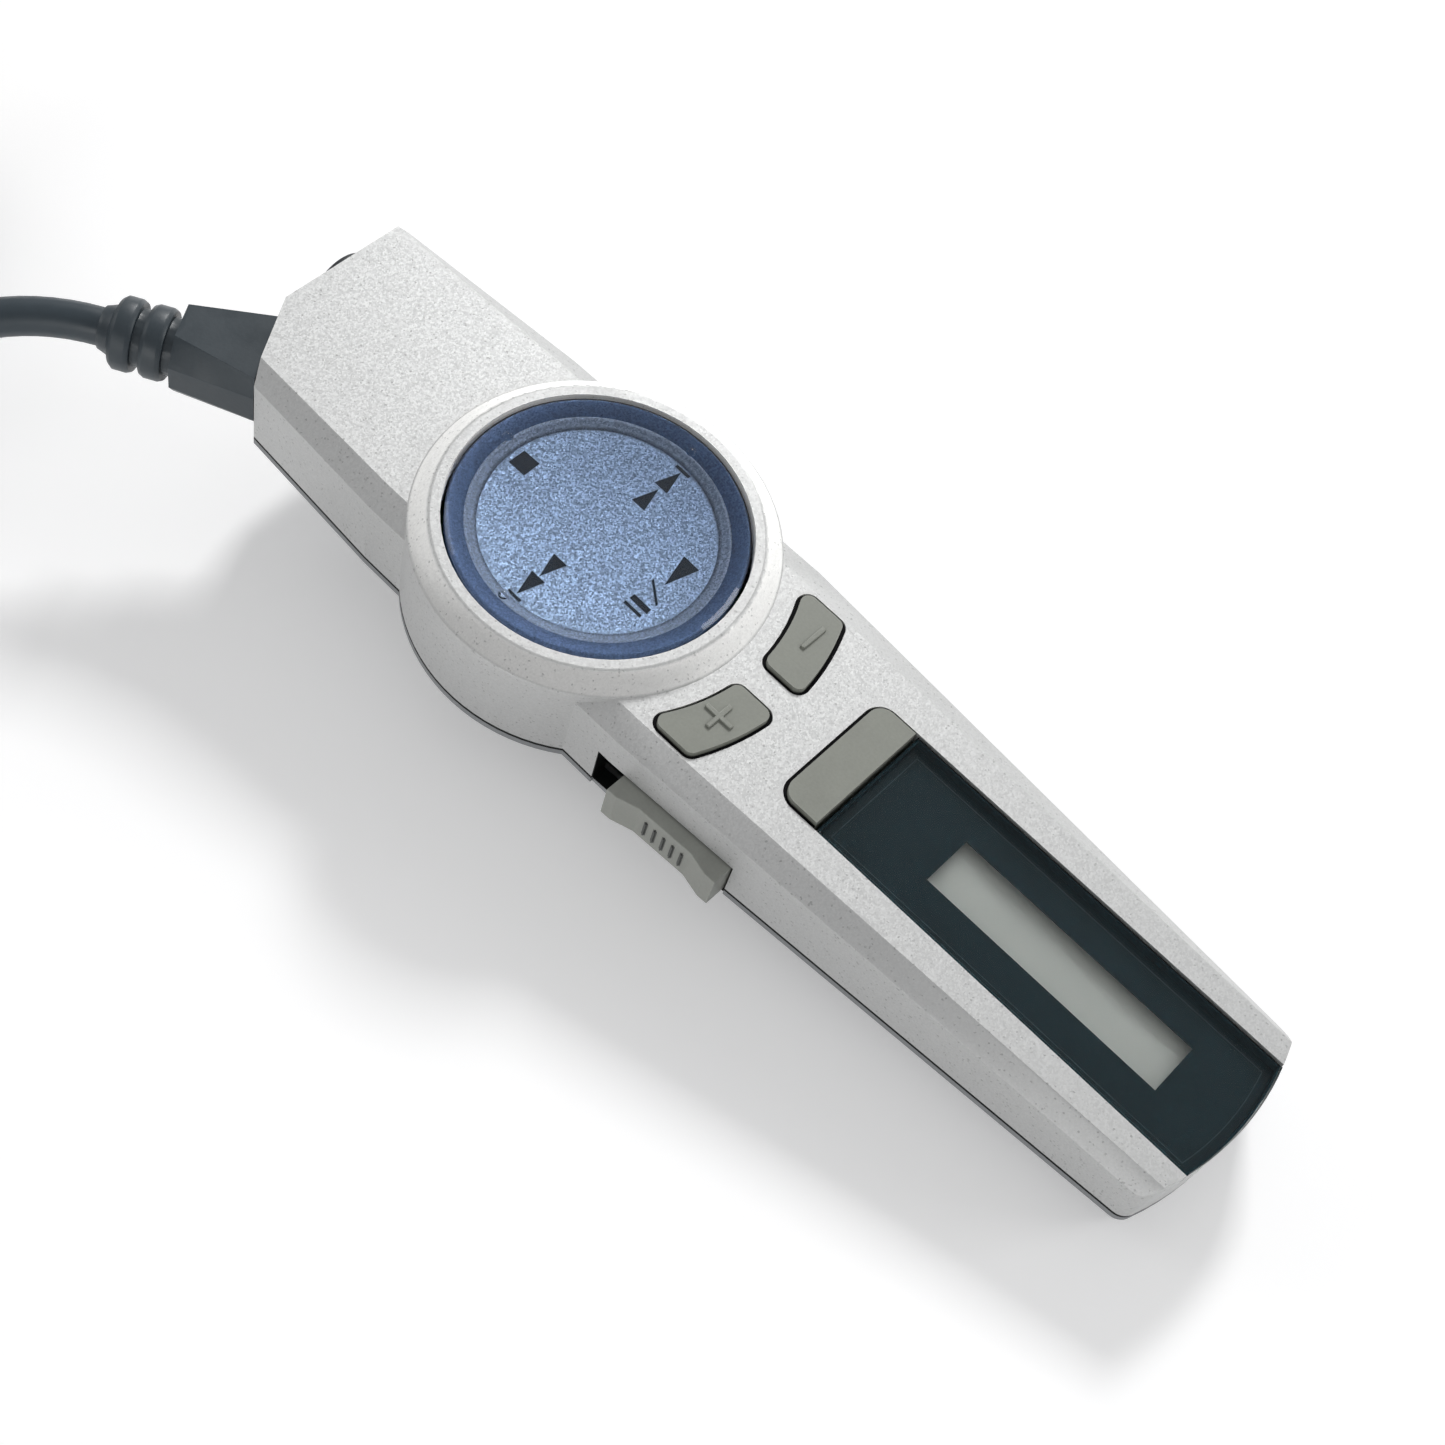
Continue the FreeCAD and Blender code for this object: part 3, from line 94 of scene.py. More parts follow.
CORD_R = 1.35
EXIT_END = Vector((-11.968, 47.932, 13.449))
EXIT_WAY = Vector((-0.52101, 0.84805, 0.09673))
EXIT_RUN = 3.5
CORD_ROUTE = [
    (-18.8, 54.9, 13.3), (-25.5, 60.0, 9.6), (-32.5, 66.0, 4.2), (-36.6, 72.6, 1.45),
    (-36.84, 80.59, 1.35),
]
TAIL_ROUTE = [
    (-32.39, 88.75, 6.75), (-29.7, 92.2, 8.6), (-26.0, 94.2, 10.9), (-21.6, 94.3, 12.1),
]
COIL_CENTRE = Vector((-20.7, 82.0, 0))
COIL_START = math.radians(185)
COIL_OUT = 16.2
COIL_IN = 13.5
COIL_STRANDS = [(COIL_OUT, 0), (COIL_IN, 0), (COIL_IN, 1), (COIL_OUT, 1), (COIL_OUT, 2),
                (COIL_IN, 2)]
COIL_TURNS = 5.097
STRAND_TURNS = 0.9
CROSS_TURNS = 0.1
TURN_POINTS = 16


def coil_point(turns):
    """The cord's place in its coil, some turns after it runs in. Each strand lies beside or
    on the last one, and the cord steps over to the next just before it meets itself."""
    strand = int(turns / STRAND_TURNS)
    left = (strand + 1) * STRAND_TURNS - turns
    share = max(0.0, 1 - left / CROSS_TURNS)
    here = COIL_STRANDS[strand]
    there = COIL_STRANDS[min(strand + 1, len(COIL_STRANDS) - 1)]
    radius = here[0] + (there[0] - here[0]) * share
    layer = here[1] + (there[1] - here[1]) * share
    reach = radius / math.cos(math.pi / TURN_POINTS)
    angle = COIL_START - math.tau * turns
    return COIL_CENTRE + Vector((reach * math.cos(angle), reach * math.sin(angle),
                                 CORD_R * (1 + 2 * layer)))


def add_cord():
    """One smooth line from the strain relief through the coil to the plug."""
    points = [EXIT_END, EXIT_END + EXIT_WAY * EXIT_RUN]
    points += [Vector(point) for point in CORD_ROUTE]
    steps = round(COIL_TURNS * TURN_POINTS)
    points += [coil_point(step / TURN_POINTS) for step in range(1, steps)]
    points += [Vector(point) for point in TAIL_ROUTE]
    curve = bpy.data.curves.new("cord_line", "CURVE")
    curve.dimensions = "3D"
    curve.bevel_depth = CORD_R * MM
    curve.bevel_resolution = 5
    curve.resolution_u = 6
    spline = curve.splines.new("NURBS")
    spline.points.add(len(points) - 1)
    for knot, point in zip(spline.points, points):
        knot.co = (*(point * MM), 1)
    spline.order_u = 3
    spline.use_endpoint_u = True
    cord = link("cord_line", curve, cord_jacket(), "case")
    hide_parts("cord", "cord_tail", "cord_coil")


# ---- making and placing pieces --------------------------------------------------------------

TURN_STEPS = 96
ROUND_STEPS = 2
ROUND_ANGLE = math.radians(25)
WELD_REACH = 1e-6


def link(name, data, finish, body, place=None):
    """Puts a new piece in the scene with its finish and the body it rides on."""
    piece = bpy.data.objects.new(name, data)
    if place:
        piece.matrix_world = place
    bpy.context.scene.collection.objects.link(piece)
    data.materials.append(finish)
    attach(piece, body)
    return piece


def flat_piece(name, outlines, low, high, finish, body, slot, soft=0.0):
    """A flat piece between two levels of the case's axes. A later outline inside the first
    is a hole. Each outline is a list of points, and soft rounds its upper and lower rims."""
    curve = bpy.data.curves.new(name, "CURVE")
    curve.dimensions = "2D"
    curve.fill_mode = "BOTH"
    curve.extrude = (high - low) / 2 - soft
    curve.bevel_depth = soft
    curve.bevel_resolution = 2
    curve.offset = -soft
    for outline in outlines:
        spline = curve.splines.new("POLY")
        spline.points.add(len(outline) - 1)
        for knot, (x, y) in zip(spline.points, outline):
            knot.co = (x, y, 0, 1)
        spline.use_cyclic_u = True
    place = case_axes @ Matrix.Translation((0, 0, (low + high) / 2))
    return link(name, curve, finish, body, place)


def mesh_from(shape, name, place=None):
    """Turns a shape into a mesh, moved from the case's axes to its place."""
    mesh = bpy.data.meshes.new(name)
    shape.to_mesh(mesh)
    shape.free()
    if place:
        mesh.transform(place)
    return mesh


def turned_piece(name, profile, finish, body):
    """A piece turned about the case's Z from a closed profile of radius and height."""
    shape = bmesh.new()
    rings = []
    for step in range(TURN_STEPS):
        angle = math.tau * step / TURN_STEPS
        rings.append([shape.verts.new((r * math.cos(angle), r * math.sin(angle), z))
                      for r, z in profile])
    for here, there in zip(rings, rings[1:] + rings[:1]):
        for k in range(len(profile)):
            after = (k + 1) % len(profile)
            shape.faces.new((here[k], there[k], there[after], here[after]))
    bmesh.ops.recalc_face_normals(shape, faces=shape.faces)
    mesh = mesh_from(shape, name, case_axes)
    mesh.shade_smooth()
    return link(name, mesh, finish, body)


def round_edges(node, width):
    """Joins a CAD node's split corners and rounds its sharp edges; the mesh itself stays."""
    piece = frame["nodes"][node]
    weld = piece.modifiers.new("joined_corners", "WELD")
    weld.merge_threshold = WELD_REACH
    rounding = piece.modifiers.new("rounded_edges", "BEVEL")
    rounding.width = width * MM
    rounding.segments = ROUND_STEPS
    rounding.limit_method = "ANGLE"
    rounding.angle_limit = ROUND_ANGLE
    rounding.harden_normals = True
    rounding.use_clamp_overlap = True


def dress(finish, *nodes, width=0.0):
    """Gives CAD nodes a finish and, with a width, rounded edges."""
    for node in nodes:
        materials = frame["nodes"][node].data.materials
        materials.clear()
        materials.append(finish)
        if width:
            round_edges(node, width)


# ---- effects shared by the finishes ---------------------------------------------------------

class Wiring:
    """Adds nodes to a tree and joins their sockets."""

    def __init__(self, tree):
        self.tree = tree

    def node(self, kind, **settings):
        node = self.tree.nodes.new("ShaderNode" + kind)
        for key, setting in settings.items():
            setattr(node, key, setting)
        return node

    def join(self, source, target):
        self.tree.links.new(source, target)

    def maths(self, operation, first, second=None):
        node = self.node("Math", operation=operation)
        self.feed(node.inputs[0], first)
        if second is not None:
            self.feed(node.inputs[1], second)
        return node.outputs[0]

    def mix(self, share, first, second):
        node = self.node("Mix", data_type="RGBA")
        self.feed(node.inputs["Factor"], share)
        colours = {socket.identifier: socket for socket in node.inputs}
        self.feed(colours["A_Color"], first)
        self.feed(colours["B_Color"], second)
        return node.outputs[2]

    def spread(self, source, low, high, start=0.0, stop=1.0):
        node = self.node("MapRange")
        self.feed(node.inputs["Value"], source)
        for name, number in (("From Min", start), ("From Max", stop),
                             ("To Min", low), ("To Max", high)):
            self.feed(node.inputs[name], number)
        return node.outputs["Result"]

    def vector(self, operation, first, second):
        """The output of a vector sum, scaling or product; first is always a socket."""
        node = self.node("VectorMath", operation=operation)
        self.join(first, node.inputs[0])
        self.feed(node.inputs["Scale" if operation == "SCALE" else 1], second)
        return node.outputs["Value" if operation == "DOT_PRODUCT" else "Vector"]

    def unit(self, source):
        node = self.node("VectorMath", operation="NORMALIZE")
        self.join(source, node.inputs[0])
        return node.outputs["Vector"]

    def place(self):
        """Where a spot lies on its piece, in metres."""
        return self.node("TexCoord").outputs["Object"]

    def noise(self, scale, place=None, detail=None):
        """How strong a cloudy noise is at a place; the scale is per metre."""
        node = self.node("TexNoise")
        self.feed(node.inputs["Scale"], scale)
        if place:
            self.join(place, node.inputs["Vector"])
        if detail:
            node.inputs["Detail"].default_value = detail
        return node.outputs["Fac"]

    def shade(self, paint, value):
        """A colour made lighter or darker by a value."""
        node = self.node("HueSaturation")
        self.feed(node.inputs["Color"], paint)
        self.join(value, node.inputs["Value"])
        return node.outputs["Color"]

    def feed(self, socket, source):
        if isinstance(source, bpy.types.NodeSocket):
            self.join(source, socket)
        else:
            socket.default_value = source


def effect(name, inputs, outputs):
    """A new node group with its wiring, its input node and its output node."""
    kinds = {"value": "NodeSocketFloat", "colour": "NodeSocketColor",
             "vector": "NodeSocketVector"}
    tree = bpy.data.node_groups.new(name, "ShaderNodeTree")
    for label, kind, start in inputs:
        socket = tree.interface.new_socket(label, in_out="INPUT", socket_type=kinds[kind])
        socket.default_value = start
    for label, kind in outputs:
        tree.interface.new_socket(label, in_out="OUTPUT", socket_type=kinds[kind])
    taken = tree.nodes.new("NodeGroupInput")
    given = tree.nodes.new("NodeGroupOutput")
    return tree, Wiring(tree), taken.outputs, given.inputs


def metal_flake():
    """Metallic paint: every small flake has its own tilt and brightness."""
    tree, wire, taken, given = effect("metal_flake", [
        ("Paint", "colour", (0.7, 0.7, 0.7, 1)), ("Flakes per mm", "value", 7.0),
        ("Tilt", "value", 0.2), ("Contrast", "value", 0.1)],
        [("Colour", "colour"), ("Normal", "vector")])
    cells = wire.node("TexVoronoi", feature="F1")
    wire.join(wire.place(), cells.inputs["Vector"])
    wire.feed(cells.inputs["Scale"], wire.maths("MULTIPLY", taken["Flakes per mm"], 1 / MM))
    chance = wire.node("SeparateColor")
    wire.join(cells.outputs["Color"], chance.inputs["Color"])
    bright = wire.maths("MULTIPLY", wire.maths("SUBTRACT", chance.outputs["Red"], 0.5),
                        taken["Contrast"])
    fleck = wire.spread(chance.outputs["Green"], 1.0, 0.7, 0.96, 0.99)
    value = wire.maths("MULTIPLY", wire.maths("ADD", bright, 1.0), fleck)
    wire.join(wire.shade(taken["Paint"], value), given["Colour"])
    lean = wire.vector("SUBTRACT", cells.outputs["Color"], (0.5, 0.5, 0.5))
    lean = wire.vector("SCALE", lean, taken["Tilt"])
    surface = wire.node("NewGeometry")
    wire.join(wire.unit(wire.vector("ADD", surface.outputs["Normal"], lean)), given["Normal"])
    return tree


def moulded_skin():
    """Moulded plastic or rubber: a fine eroded grain and faint cloudy shades."""
    tree, wire, taken, given = effect("moulded_skin", [
        ("Plastic", "colour", (0.3, 0.3, 0.3, 1)), ("Grain per mm", "value", 4.0),
        ("Clouding", "value", 0.12), ("Sheen Low", "value", 0.4), ("Sheen High", "value", 0.55)],
        [("Colour", "colour"), ("Roughness", "value"), ("Height", "value")])
    place = wire.place()
    fine = wire.noise(wire.maths("MULTIPLY", taken["Grain per mm"], 1 / MM), place, 2)
    cloud = wire.noise(0.5 / MM, place, 4)
    both = wire.maths("ADD", wire.maths("MULTIPLY", fine, 0.4),
                      wire.maths("MULTIPLY", cloud, 0.6))
    bright = wire.maths("MULTIPLY", wire.maths("SUBTRACT", both, 0.5), taken["Clouding"])
    value = wire.maths("ADD", wire.maths("MULTIPLY", bright, 4.0), 1.0)
    wire.join(wire.shade(taken["Plastic"], value), given["Colour"])
    wire.join(wire.spread(cloud, taken["Sheen Low"], taken["Sheen High"], 0.3, 0.7),
              given["Roughness"])
    wire.join(fine, given["Height"])
    return tree


def rubbed_edges():
    """How far a spot lies on a rounded edge, broken up as by handling."""
    tree, wire, taken, given = effect("rubbed_edges", [
        ("Reach mm", "value", 0.2), ("Breaks per mm", "value", 1.5)], [("Mask", "value")])
    surface = wire.node("NewGeometry")
    soft = wire.node("Bevel", samples=4)
    wire.feed(soft.inputs["Radius"], wire.maths("MULTIPLY", taken["Reach mm"], MM))
    turn = wire.vector("DOT_PRODUCT", surface.outputs["Normal"], soft.outputs["Normal"])
    edge = wire.spread(turn, 1.0, 0.0, 0.86, 0.995)
    breaks = wire.noise(wire.maths("MULTIPLY", taken["Breaks per mm"], 1 / MM), wire.place())
    rough = wire.spread(breaks, 0.0, 1.0, 0.35, 0.6)
    wire.join(wire.maths("MULTIPLY", edge, rough), given["Mask"])
    return tree


FLAKE = metal_flake()
SKIN = moulded_skin()
RUBBED = rubbed_edges()


def new_finish(name):
    """A material with its wiring and its main shader."""
    material = bpy.data.materials.new(name)
    material.use_nodes = True
    wire = Wiring(material.node_tree)
    shader = material.node_tree.nodes["Principled BSDF"]
    return material, wire, shader


def place_effect(wire, tree, **settings):
    """A shared effect in a material, its inputs set by label."""
    node = wire.node("Group", node_tree=tree)
    for label, setting in settings.items():
        wire.feed(node.inputs[label.replace("_", " ")], setting)
    return node.outputs


def colour(red, green, blue):
    return (red, green, blue, 1.0)


# ---- finishes -------------------------------------------------------------------------------

FLAKES_PER_MM = 9.0
STREAKS_PER_MM = 40.0
LENS_R = 9.8
SHOULDER_FLAT = 2.5


def shoulder_mask(wire):
    """One on the slope that rises from the face to the ring's lip, zero elsewhere."""
    height = wire.vector("DOT_PRODUCT", wire.place(), face_out)
    face = disc_centre.dot(face_out)
    lip = face + case_box("front_casing")[1].z * MM
    rise = wire.spread(height, 0.0, 1.0, face + 0.04 * MM, face + 0.16 * MM)
    fall = wire.spread(height, 1.0, 0.0, lip - 0.12 * MM, lip - 0.03 * MM)
    return wire.maths("MULTIPLY", rise, fall)


def flake_paint(name, paint, worn, tilt, contrast, metallic, roughness, painted_slope_highlight=None):
    """Metallic paint with flakes, brighter where hands have rubbed its edges. A painted
    highlight colour lightens the slope round the disc, whose normals also lean to the face
    as if its flakes lay flatter."""
    material, wire, shader = new_finish(name)
    edge = place_effect(wire, RUBBED, Reach_mm=0.25, Breaks_per_mm=1.2)["Mask"]
    tone = wire.mix(wire.maths("MULTIPLY", edge, 0.6), paint, worn)
    mask = shoulder_mask(wire) if painted_slope_highlight else 0.0
    # The slope's lighter colour is a painted highlight.
    if painted_slope_highlight:
        tone = wire.mix(mask, tone, painted_slope_highlight)
    flake = place_effect(wire, FLAKE, Paint=tone, Flakes_per_mm=FLAKES_PER_MM, Tilt=tilt,
                         Contrast=contrast)
    normal = flake["Normal"]
    if painted_slope_highlight:
        flat = wire.node("VectorMath", operation="SCALE")
        flat.inputs[0].default_value = face_out
        wire.join(wire.maths("MULTIPLY", mask, SHOULDER_FLAT), flat.inputs["Scale"])
        normal = wire.unit(wire.vector("ADD", normal, flat.outputs["Vector"]))
    wire.join(flake["Colour"], shader.inputs["Base Color"])
    wire.join(normal, shader.inputs["Normal"])
    shader.inputs["Metallic"].default_value = metallic
    shader.inputs["Roughness"].default_value = roughness
    shader.inputs["Coat Weight"].default_value = 0.08
    shader.inputs["Coat Roughness"].default_value = 0.4
    return material


def moulded(name, plastic, low, high, clouding=0.12, bump=0.3, grain=4.0, shine=0.5):
    """Plain moulded plastic or rubber with grain, clouding and rubbed edges."""
    material, wire, shader = new_finish(name)
    skin = place_effect(wire, SKIN, Plastic=plastic, Grain_per_mm=grain, Clouding=clouding,
                        Sheen_Low=low, Sheen_High=high)
    edge = place_effect(wire, RUBBED, Reach_mm=0.2, Breaks_per_mm=2.0)["Mask"]
    lighter = tuple(min(1.0, part * 1.25 + 0.01) for part in plastic[:3]) + (1.0,)
    tone = wire.mix(wire.maths("MULTIPLY", edge, 0.5), skin["Colour"], lighter)
    wire.join(tone, shader.inputs["Base Color"])
    wire.join(skin["Roughness"], shader.inputs["Roughness"])
    shader.inputs["Specular IOR Level"].default_value = shine
    relief = wire.node("Bump")
    relief.inputs["Strength"].default_value = bump
    relief.inputs["Distance"].default_value = 0.02 * MM
    wire.join(skin["Height"], relief.inputs["Height"])
    wire.join(relief.outputs["Normal"], shader.inputs["Normal"])
    return material


def cord_jacket():
    return moulded("cord_jacket", colour(0.035, 0.05, 0.062), 0.34, 0.46, 0.08, 0.25, 3.0)


def clear_plastic(name, tint, bend, haze_per_mm, haze):
    """Clear plastic with a tint, how much it bends light, and a faint uneven haze."""
    material, wire, shader = new_finish(name)
    shader.inputs["Base Color"].default_value = tint
    shader.inputs["Transmission Weight"].default_value = 1.0
    shader.inputs["IOR"].default_value = bend
    wire.join(wire.spread(wire.noise(haze_per_mm / MM), 0.0, haze), shader.inputs["Roughness"])
    return material


def sparkle_with_painted_shade(name, right, left, tilt, contrast, metallic):
    """Sparkling lacquer that shows through the cap, with painted shade and light: darker on
    the right, lighter on the left.
    """
    material, wire, shader = new_finish(name)
    # Painted shade and light: the paint blends from the shaded right colour to the lit left one.
    middle = disc_centre.dot(across)
    share = wire.spread(wire.vector("DOT_PRODUCT", wire.place(), across), 1.0, 0.0,
                        middle - LENS_R * MM, middle + LENS_R * MM)
    flake = place_effect(wire, FLAKE, Paint=wire.mix(share, right, left),
                         Flakes_per_mm=FLAKES_PER_MM, Tilt=tilt, Contrast=contrast)
    wire.join(flake["Colour"], shader.inputs["Base Color"])
    wire.join(flake["Normal"], shader.inputs["Normal"])
    shader.inputs["Metallic"].default_value = metallic
    shader.inputs["Roughness"].default_value = 0.4
    return material


def display_glass():
    """The grey field of the display."""
    material, wire, shader = new_finish("display_glass")
    mottle = wire.noise(5 / MM, wire.place())
    tone = wire.mix(mottle, colour(0.86, 0.85, 0.81), colour(0.91, 0.90, 0.86))
    wire.join(tone, shader.inputs["Base Color"])
    shader.inputs["Roughness"].default_value = 0.5
    return material


def bare_metal(name, metal, roughness):
    """Plated or brushed metal with fine streaks."""
    material, wire, shader = new_finish(name)
    streaks = wire.noise(STREAKS_PER_MM / MM, wire.place())
    dull = tuple(part * 0.8 for part in metal[:3]) + (1.0,)
    wire.join(wire.mix(streaks, dull, metal), shader.inputs["Base Color"])
    wire.join(wire.spread(streaks, roughness - 0.08, roughness + 0.08),
              shader.inputs["Roughness"])
    shader.inputs["Metallic"].default_value = 1.0
    return material


# ---- casing, keys and inner parts -----------------------------------------------------------

# Closed profiles of radius and height: the sloped edge of the dish and the wall of the cap.
DISH_RIM = [(7.85, -0.14), (8.15, -0.05), (8.45, 0.13), (8.7, 0.36), (8.7, -0.14)]
LENS_WALL = [(8.7, -0.13), (8.7, 0.36), (9.2, 0.72), (9.7, 1.1), (9.82, 1.1), (9.82, -0.13)]


def dress_casing():
    # The last colour is a painted highlight on the slope round the disc.
    silver = flake_paint("silver_paint", colour(0.58, 0.585, 0.58), colour(0.68, 0.68, 0.67),
                         0.08, 0.10, 0.42, 0.50, colour(0.93, 0.93, 0.91))
    # The rear casing has the front's silver paint; its darker grey here is painted shade.
    grey = flake_paint("rear_shade_paint", colour(0.34, 0.35, 0.36), colour(0.46, 0.46, 0.46),
                       0.12, 0.10, 0.40, 0.50)
    dress(silver, "front_casing", width=0.12)
    dress(grey, "rear_casing", width=0.12)
    steel = bare_metal("screw_steel", colour(0.42, 0.42, 0.43), 0.35)
    dress(steel, "upper_screw", "left_screw", "right_screw", width=0.05)
    return silver


def dress_disc():
    """The blue clear cap over a sparkling dish, and the ring that carries the disc."""
    dress(clear_plastic("lens_clear", colour(0.72, 0.81, 0.94), 1.47, 0.6, 0.03), "control_cap")
    # Each pair of colours is one lacquer: its right colour is a painted shade, its left a
    # painted light.
    dish = sparkle_with_painted_shade("dish_sparkle", colour(0.40, 0.47, 0.56), colour(0.80, 0.88, 0.97),
                        0.3, 0.4, 0.5)
    dress(dish, "control_plate")
    rim = sparkle_with_painted_shade("rim_sparkle", colour(0.27, 0.33, 0.42), colour(0.56, 0.64, 0.78),
                       0.3, 0.5, 0.2)
    wall = sparkle_with_painted_shade("wall_blue", colour(0.08, 0.15, 0.28), colour(0.24, 0.35, 0.58),
                        0.2, 0.5, 0.3)
    turned_piece("dish_rim", DISH_RIM, rim, "control_disc")
    turned_piece("lens_wall", LENS_WALL, wall, "control_disc")
    white = moulded("white_moulding", colour(0.72, 0.71, 0.68), 0.4, 0.5)
    dress(white, "tilt_ring", "display_holder", width=0.06)


def dress_keys():
    grey = moulded("key_grey", colour(0.245, 0.255, 0.222), 0.42, 0.55, 0.10, 0.3, 5.0)
    dress(grey, "volume_up_button", "volume_down_button", "mode_button", width=0.22)
    knob = moulded("knob_grey", colour(0.33, 0.34, 0.31), 0.38, 0.5, 0.10, 0.3, 5.0)
    dress(knob, "hold_slider", width=0.3)
    return grey


def dress_window():
    smoke = clear_plastic("window_smoke", colour(0.87, 0.90, 0.89), 1.30, 0.3, 0.06)
    dress(smoke, "display_window")
    dress(display_glass(), "display_panel")


def dress_inside():
    board = moulded("board_green", colour(0.05, 0.17, 0.08), 0.3, 0.4, 0.2)
    dome = bare_metal("switch_dome", colour(0.62, 0.61, 0.58), 0.3)
    black = moulded("chip_black", colour(0.018, 0.018, 0.019), 0.4, 0.55)
    strip = moulded("contact_strip", colour(0.05, 0.05, 0.055), 0.6, 0.7)
    guide = moulded("light_guide", colour(0.75, 0.77, 0.76), 0.15, 0.25, 0.03, 0.05)
    gold = bare_metal("gold_plate", colour(0.83, 0.62, 0.28), 0.22)
    dress(board, "circuit_board")
    dress(dome, *[name + "_switch" for name in (
        "stop", "forward", "play", "back", "volume_up", "volume_down", "mode")])
    dress(black, "controller_chip", "amplifier_chip", "hold_switch", "plug_bands")
    dress(strip, "contact_strip")
    dress(guide, "light_guide")
    dress(gold, "jack_contacts", "plug_contacts")
    dress(moulded("jack_black", colour(0.03, 0.034, 0.038), 0.35, 0.5), "headphone_jack",
          width=0.15)


def dress_back():
    """The clip and its leaf spring; the leaf is a copy of the spring's mesh that rides on the
    case.
    """
    dress(moulded("clip_grey", colour(0.30, 0.31, 0.32), 0.35, 0.5), "clip_lever", width=0.25)
    steel = bare_metal("spring_steel", colour(0.55, 0.55, 0.54), 0.28)
    dress(steel, "clip_pin", "clip_spring")
    mesh = frame["nodes"]["clip_spring"].data.copy()
    mesh.materials.clear()
    leaf = link("spring_leaf", mesh, steel, "case")
    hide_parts("clip_spring")
    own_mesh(leaf)


def dress_cord_ends():
    rubber = moulded("boot_rubber", colour(0.035, 0.048, 0.058), 0.32, 0.48, 0.10, 0.3, 4.0)
    dress(rubber, "cord_exit", "plug_grip", width=0.2)


# ---- signs ----------------------------------------------------------------------------------

SIGN_THICK = 0.03
SIGN_LIFT = 0.005
SIGN_R = 6.75
ARM_LONG = 1.1
ARM_HALF = 0.17
ARM_SINK = 0.1
ARM_HIGH = 0.16
ARM_ROUND = 0.06
PLUS_AT = (-4.0, -14.75)
MINUS_AT = (4.9, -14.8)


def arrow(tip, long, half):
    """A triangle that points along X; a negative length points it the other way."""
    x, y = tip
    corners = [(x, y), (x - long, y + half), (x - long, y - half)]
    return corners if long > 0 else corners[::-1]


def bar(x, y, wide, high, lean=0.0):
    w, h = wide / 2, high / 2
    return [(x - w - lean, y - h), (x + w - lean, y - h), (x + w + lean, y + h),
            (x - w + lean, y + h)]


def disc_signs():
    """The transport signs printed on the plate under the clear cap."""
    ink = moulded("sign_ink", colour(0.010, 0.020, 0.030), 0.45, 0.55, 0.05, 0.1, shine=0.05)
    low = case_box("control_plate")[1].z + SIGN_LIFT
    signs = {
        "stop_sign": [bar(-0.1, SIGN_R, 1.4, 1.4)],
        "left_skip_sign": [arrow((-5.4, -0.1), -1.85, 0.58), arrow((-7.4, -0.1), -1.9, 0.58),
                           bar(-7.62, -0.1, 0.2, 1.1)],
        "right_skip_sign": [arrow((5.25, -0.35), 1.95, 0.56), arrow((7.4, -0.35), 1.95, 0.56),
                            bar(7.56, -0.35, 0.24, 1.2)],
        "play_sign": [arrow((0.3, -5.72), -2.5, 0.68), bar(-0.62, -5.72, 0.2, 1.5, 0.58),
                      bar(-1.93, -5.72, 0.42, 1.5), bar(-2.58, -5.66, 0.2, 1.45)],
    }
    for name, outlines in signs.items():
        flat_piece(name, outlines, low, low + SIGN_THICK, ink, "control_disc", "blue_lens")


def key_signs(grey):
    """The raised plus and minus on the volume keys."""
    top = case_box("volume_up_button")[1].z
    low, high = top - ARM_SINK, top + ARM_HIGH
    arm, half = ARM_LONG, ARM_HALF
    quarter = [(half, half), (half, arm), (-half, arm)]
    plus = []
    for _ in range(4):
        plus += quarter
        quarter = [(-y, x) for x, y in quarter]
    plus = [(PLUS_AT[0] + x, PLUS_AT[1] + y) for x, y in plus]
    flat_piece("plus_sign", [plus], low, high, grey, "volume_up_key", "grey_key",
               soft=ARM_ROUND)
    flat_piece("minus_sign", [bar(*MINUS_AT, 2 * arm, 2 * half)], low, high, grey,
               "volume_down_key", "grey_key", soft=ARM_ROUND)


# ---- gaps, the slot and seams, with painted shade -------------------------------------------

GAP_NEAR = 0.05
GAP_FAR = 0.24
GAP_Z = (-0.4, -0.12)
MODE_OPEN_X = 5.07
MODE_FLANGE = 0.5
CORNER_R = 1.38
CORNER_LOW = -1.15
CORNER_STEPS = 8
SLOT_Y = (-21.8, -10.4)
SLOT_Z = (-6.9, -3.5)
LINER_REACH = (0.04, 1.15)
LINER_WALL = 0.07
# The side wall runs from the foot to its end by the ring; its half width and the seam's
# depth below the face change evenly between the two.
FOOT_Y = -54.8
SIDE_END_Y = -11.4
FOOT_HALF, SIDE_HALF = 7.55, 9.65
FOOT_SEAM, SIDE_SEAM = 4.74, 6.9
SEAM_HIGH = 0.25
RIM_LOW = 0.75
SEAM_NEAR = 0.03


def grown(points, width):
    """A closed line of points in counter-clockwise order, moved outwards by a width."""
    moved = []
    for before, here, after in zip(points[-1:] + points[:-1], points, points[1:] + points[:1]):
        way = Vector((after[0] - before[0], after[1] - before[1])).normalized()
        moved.append((here[0] + way.y * width, here[1] - way.x * width))
    return moved


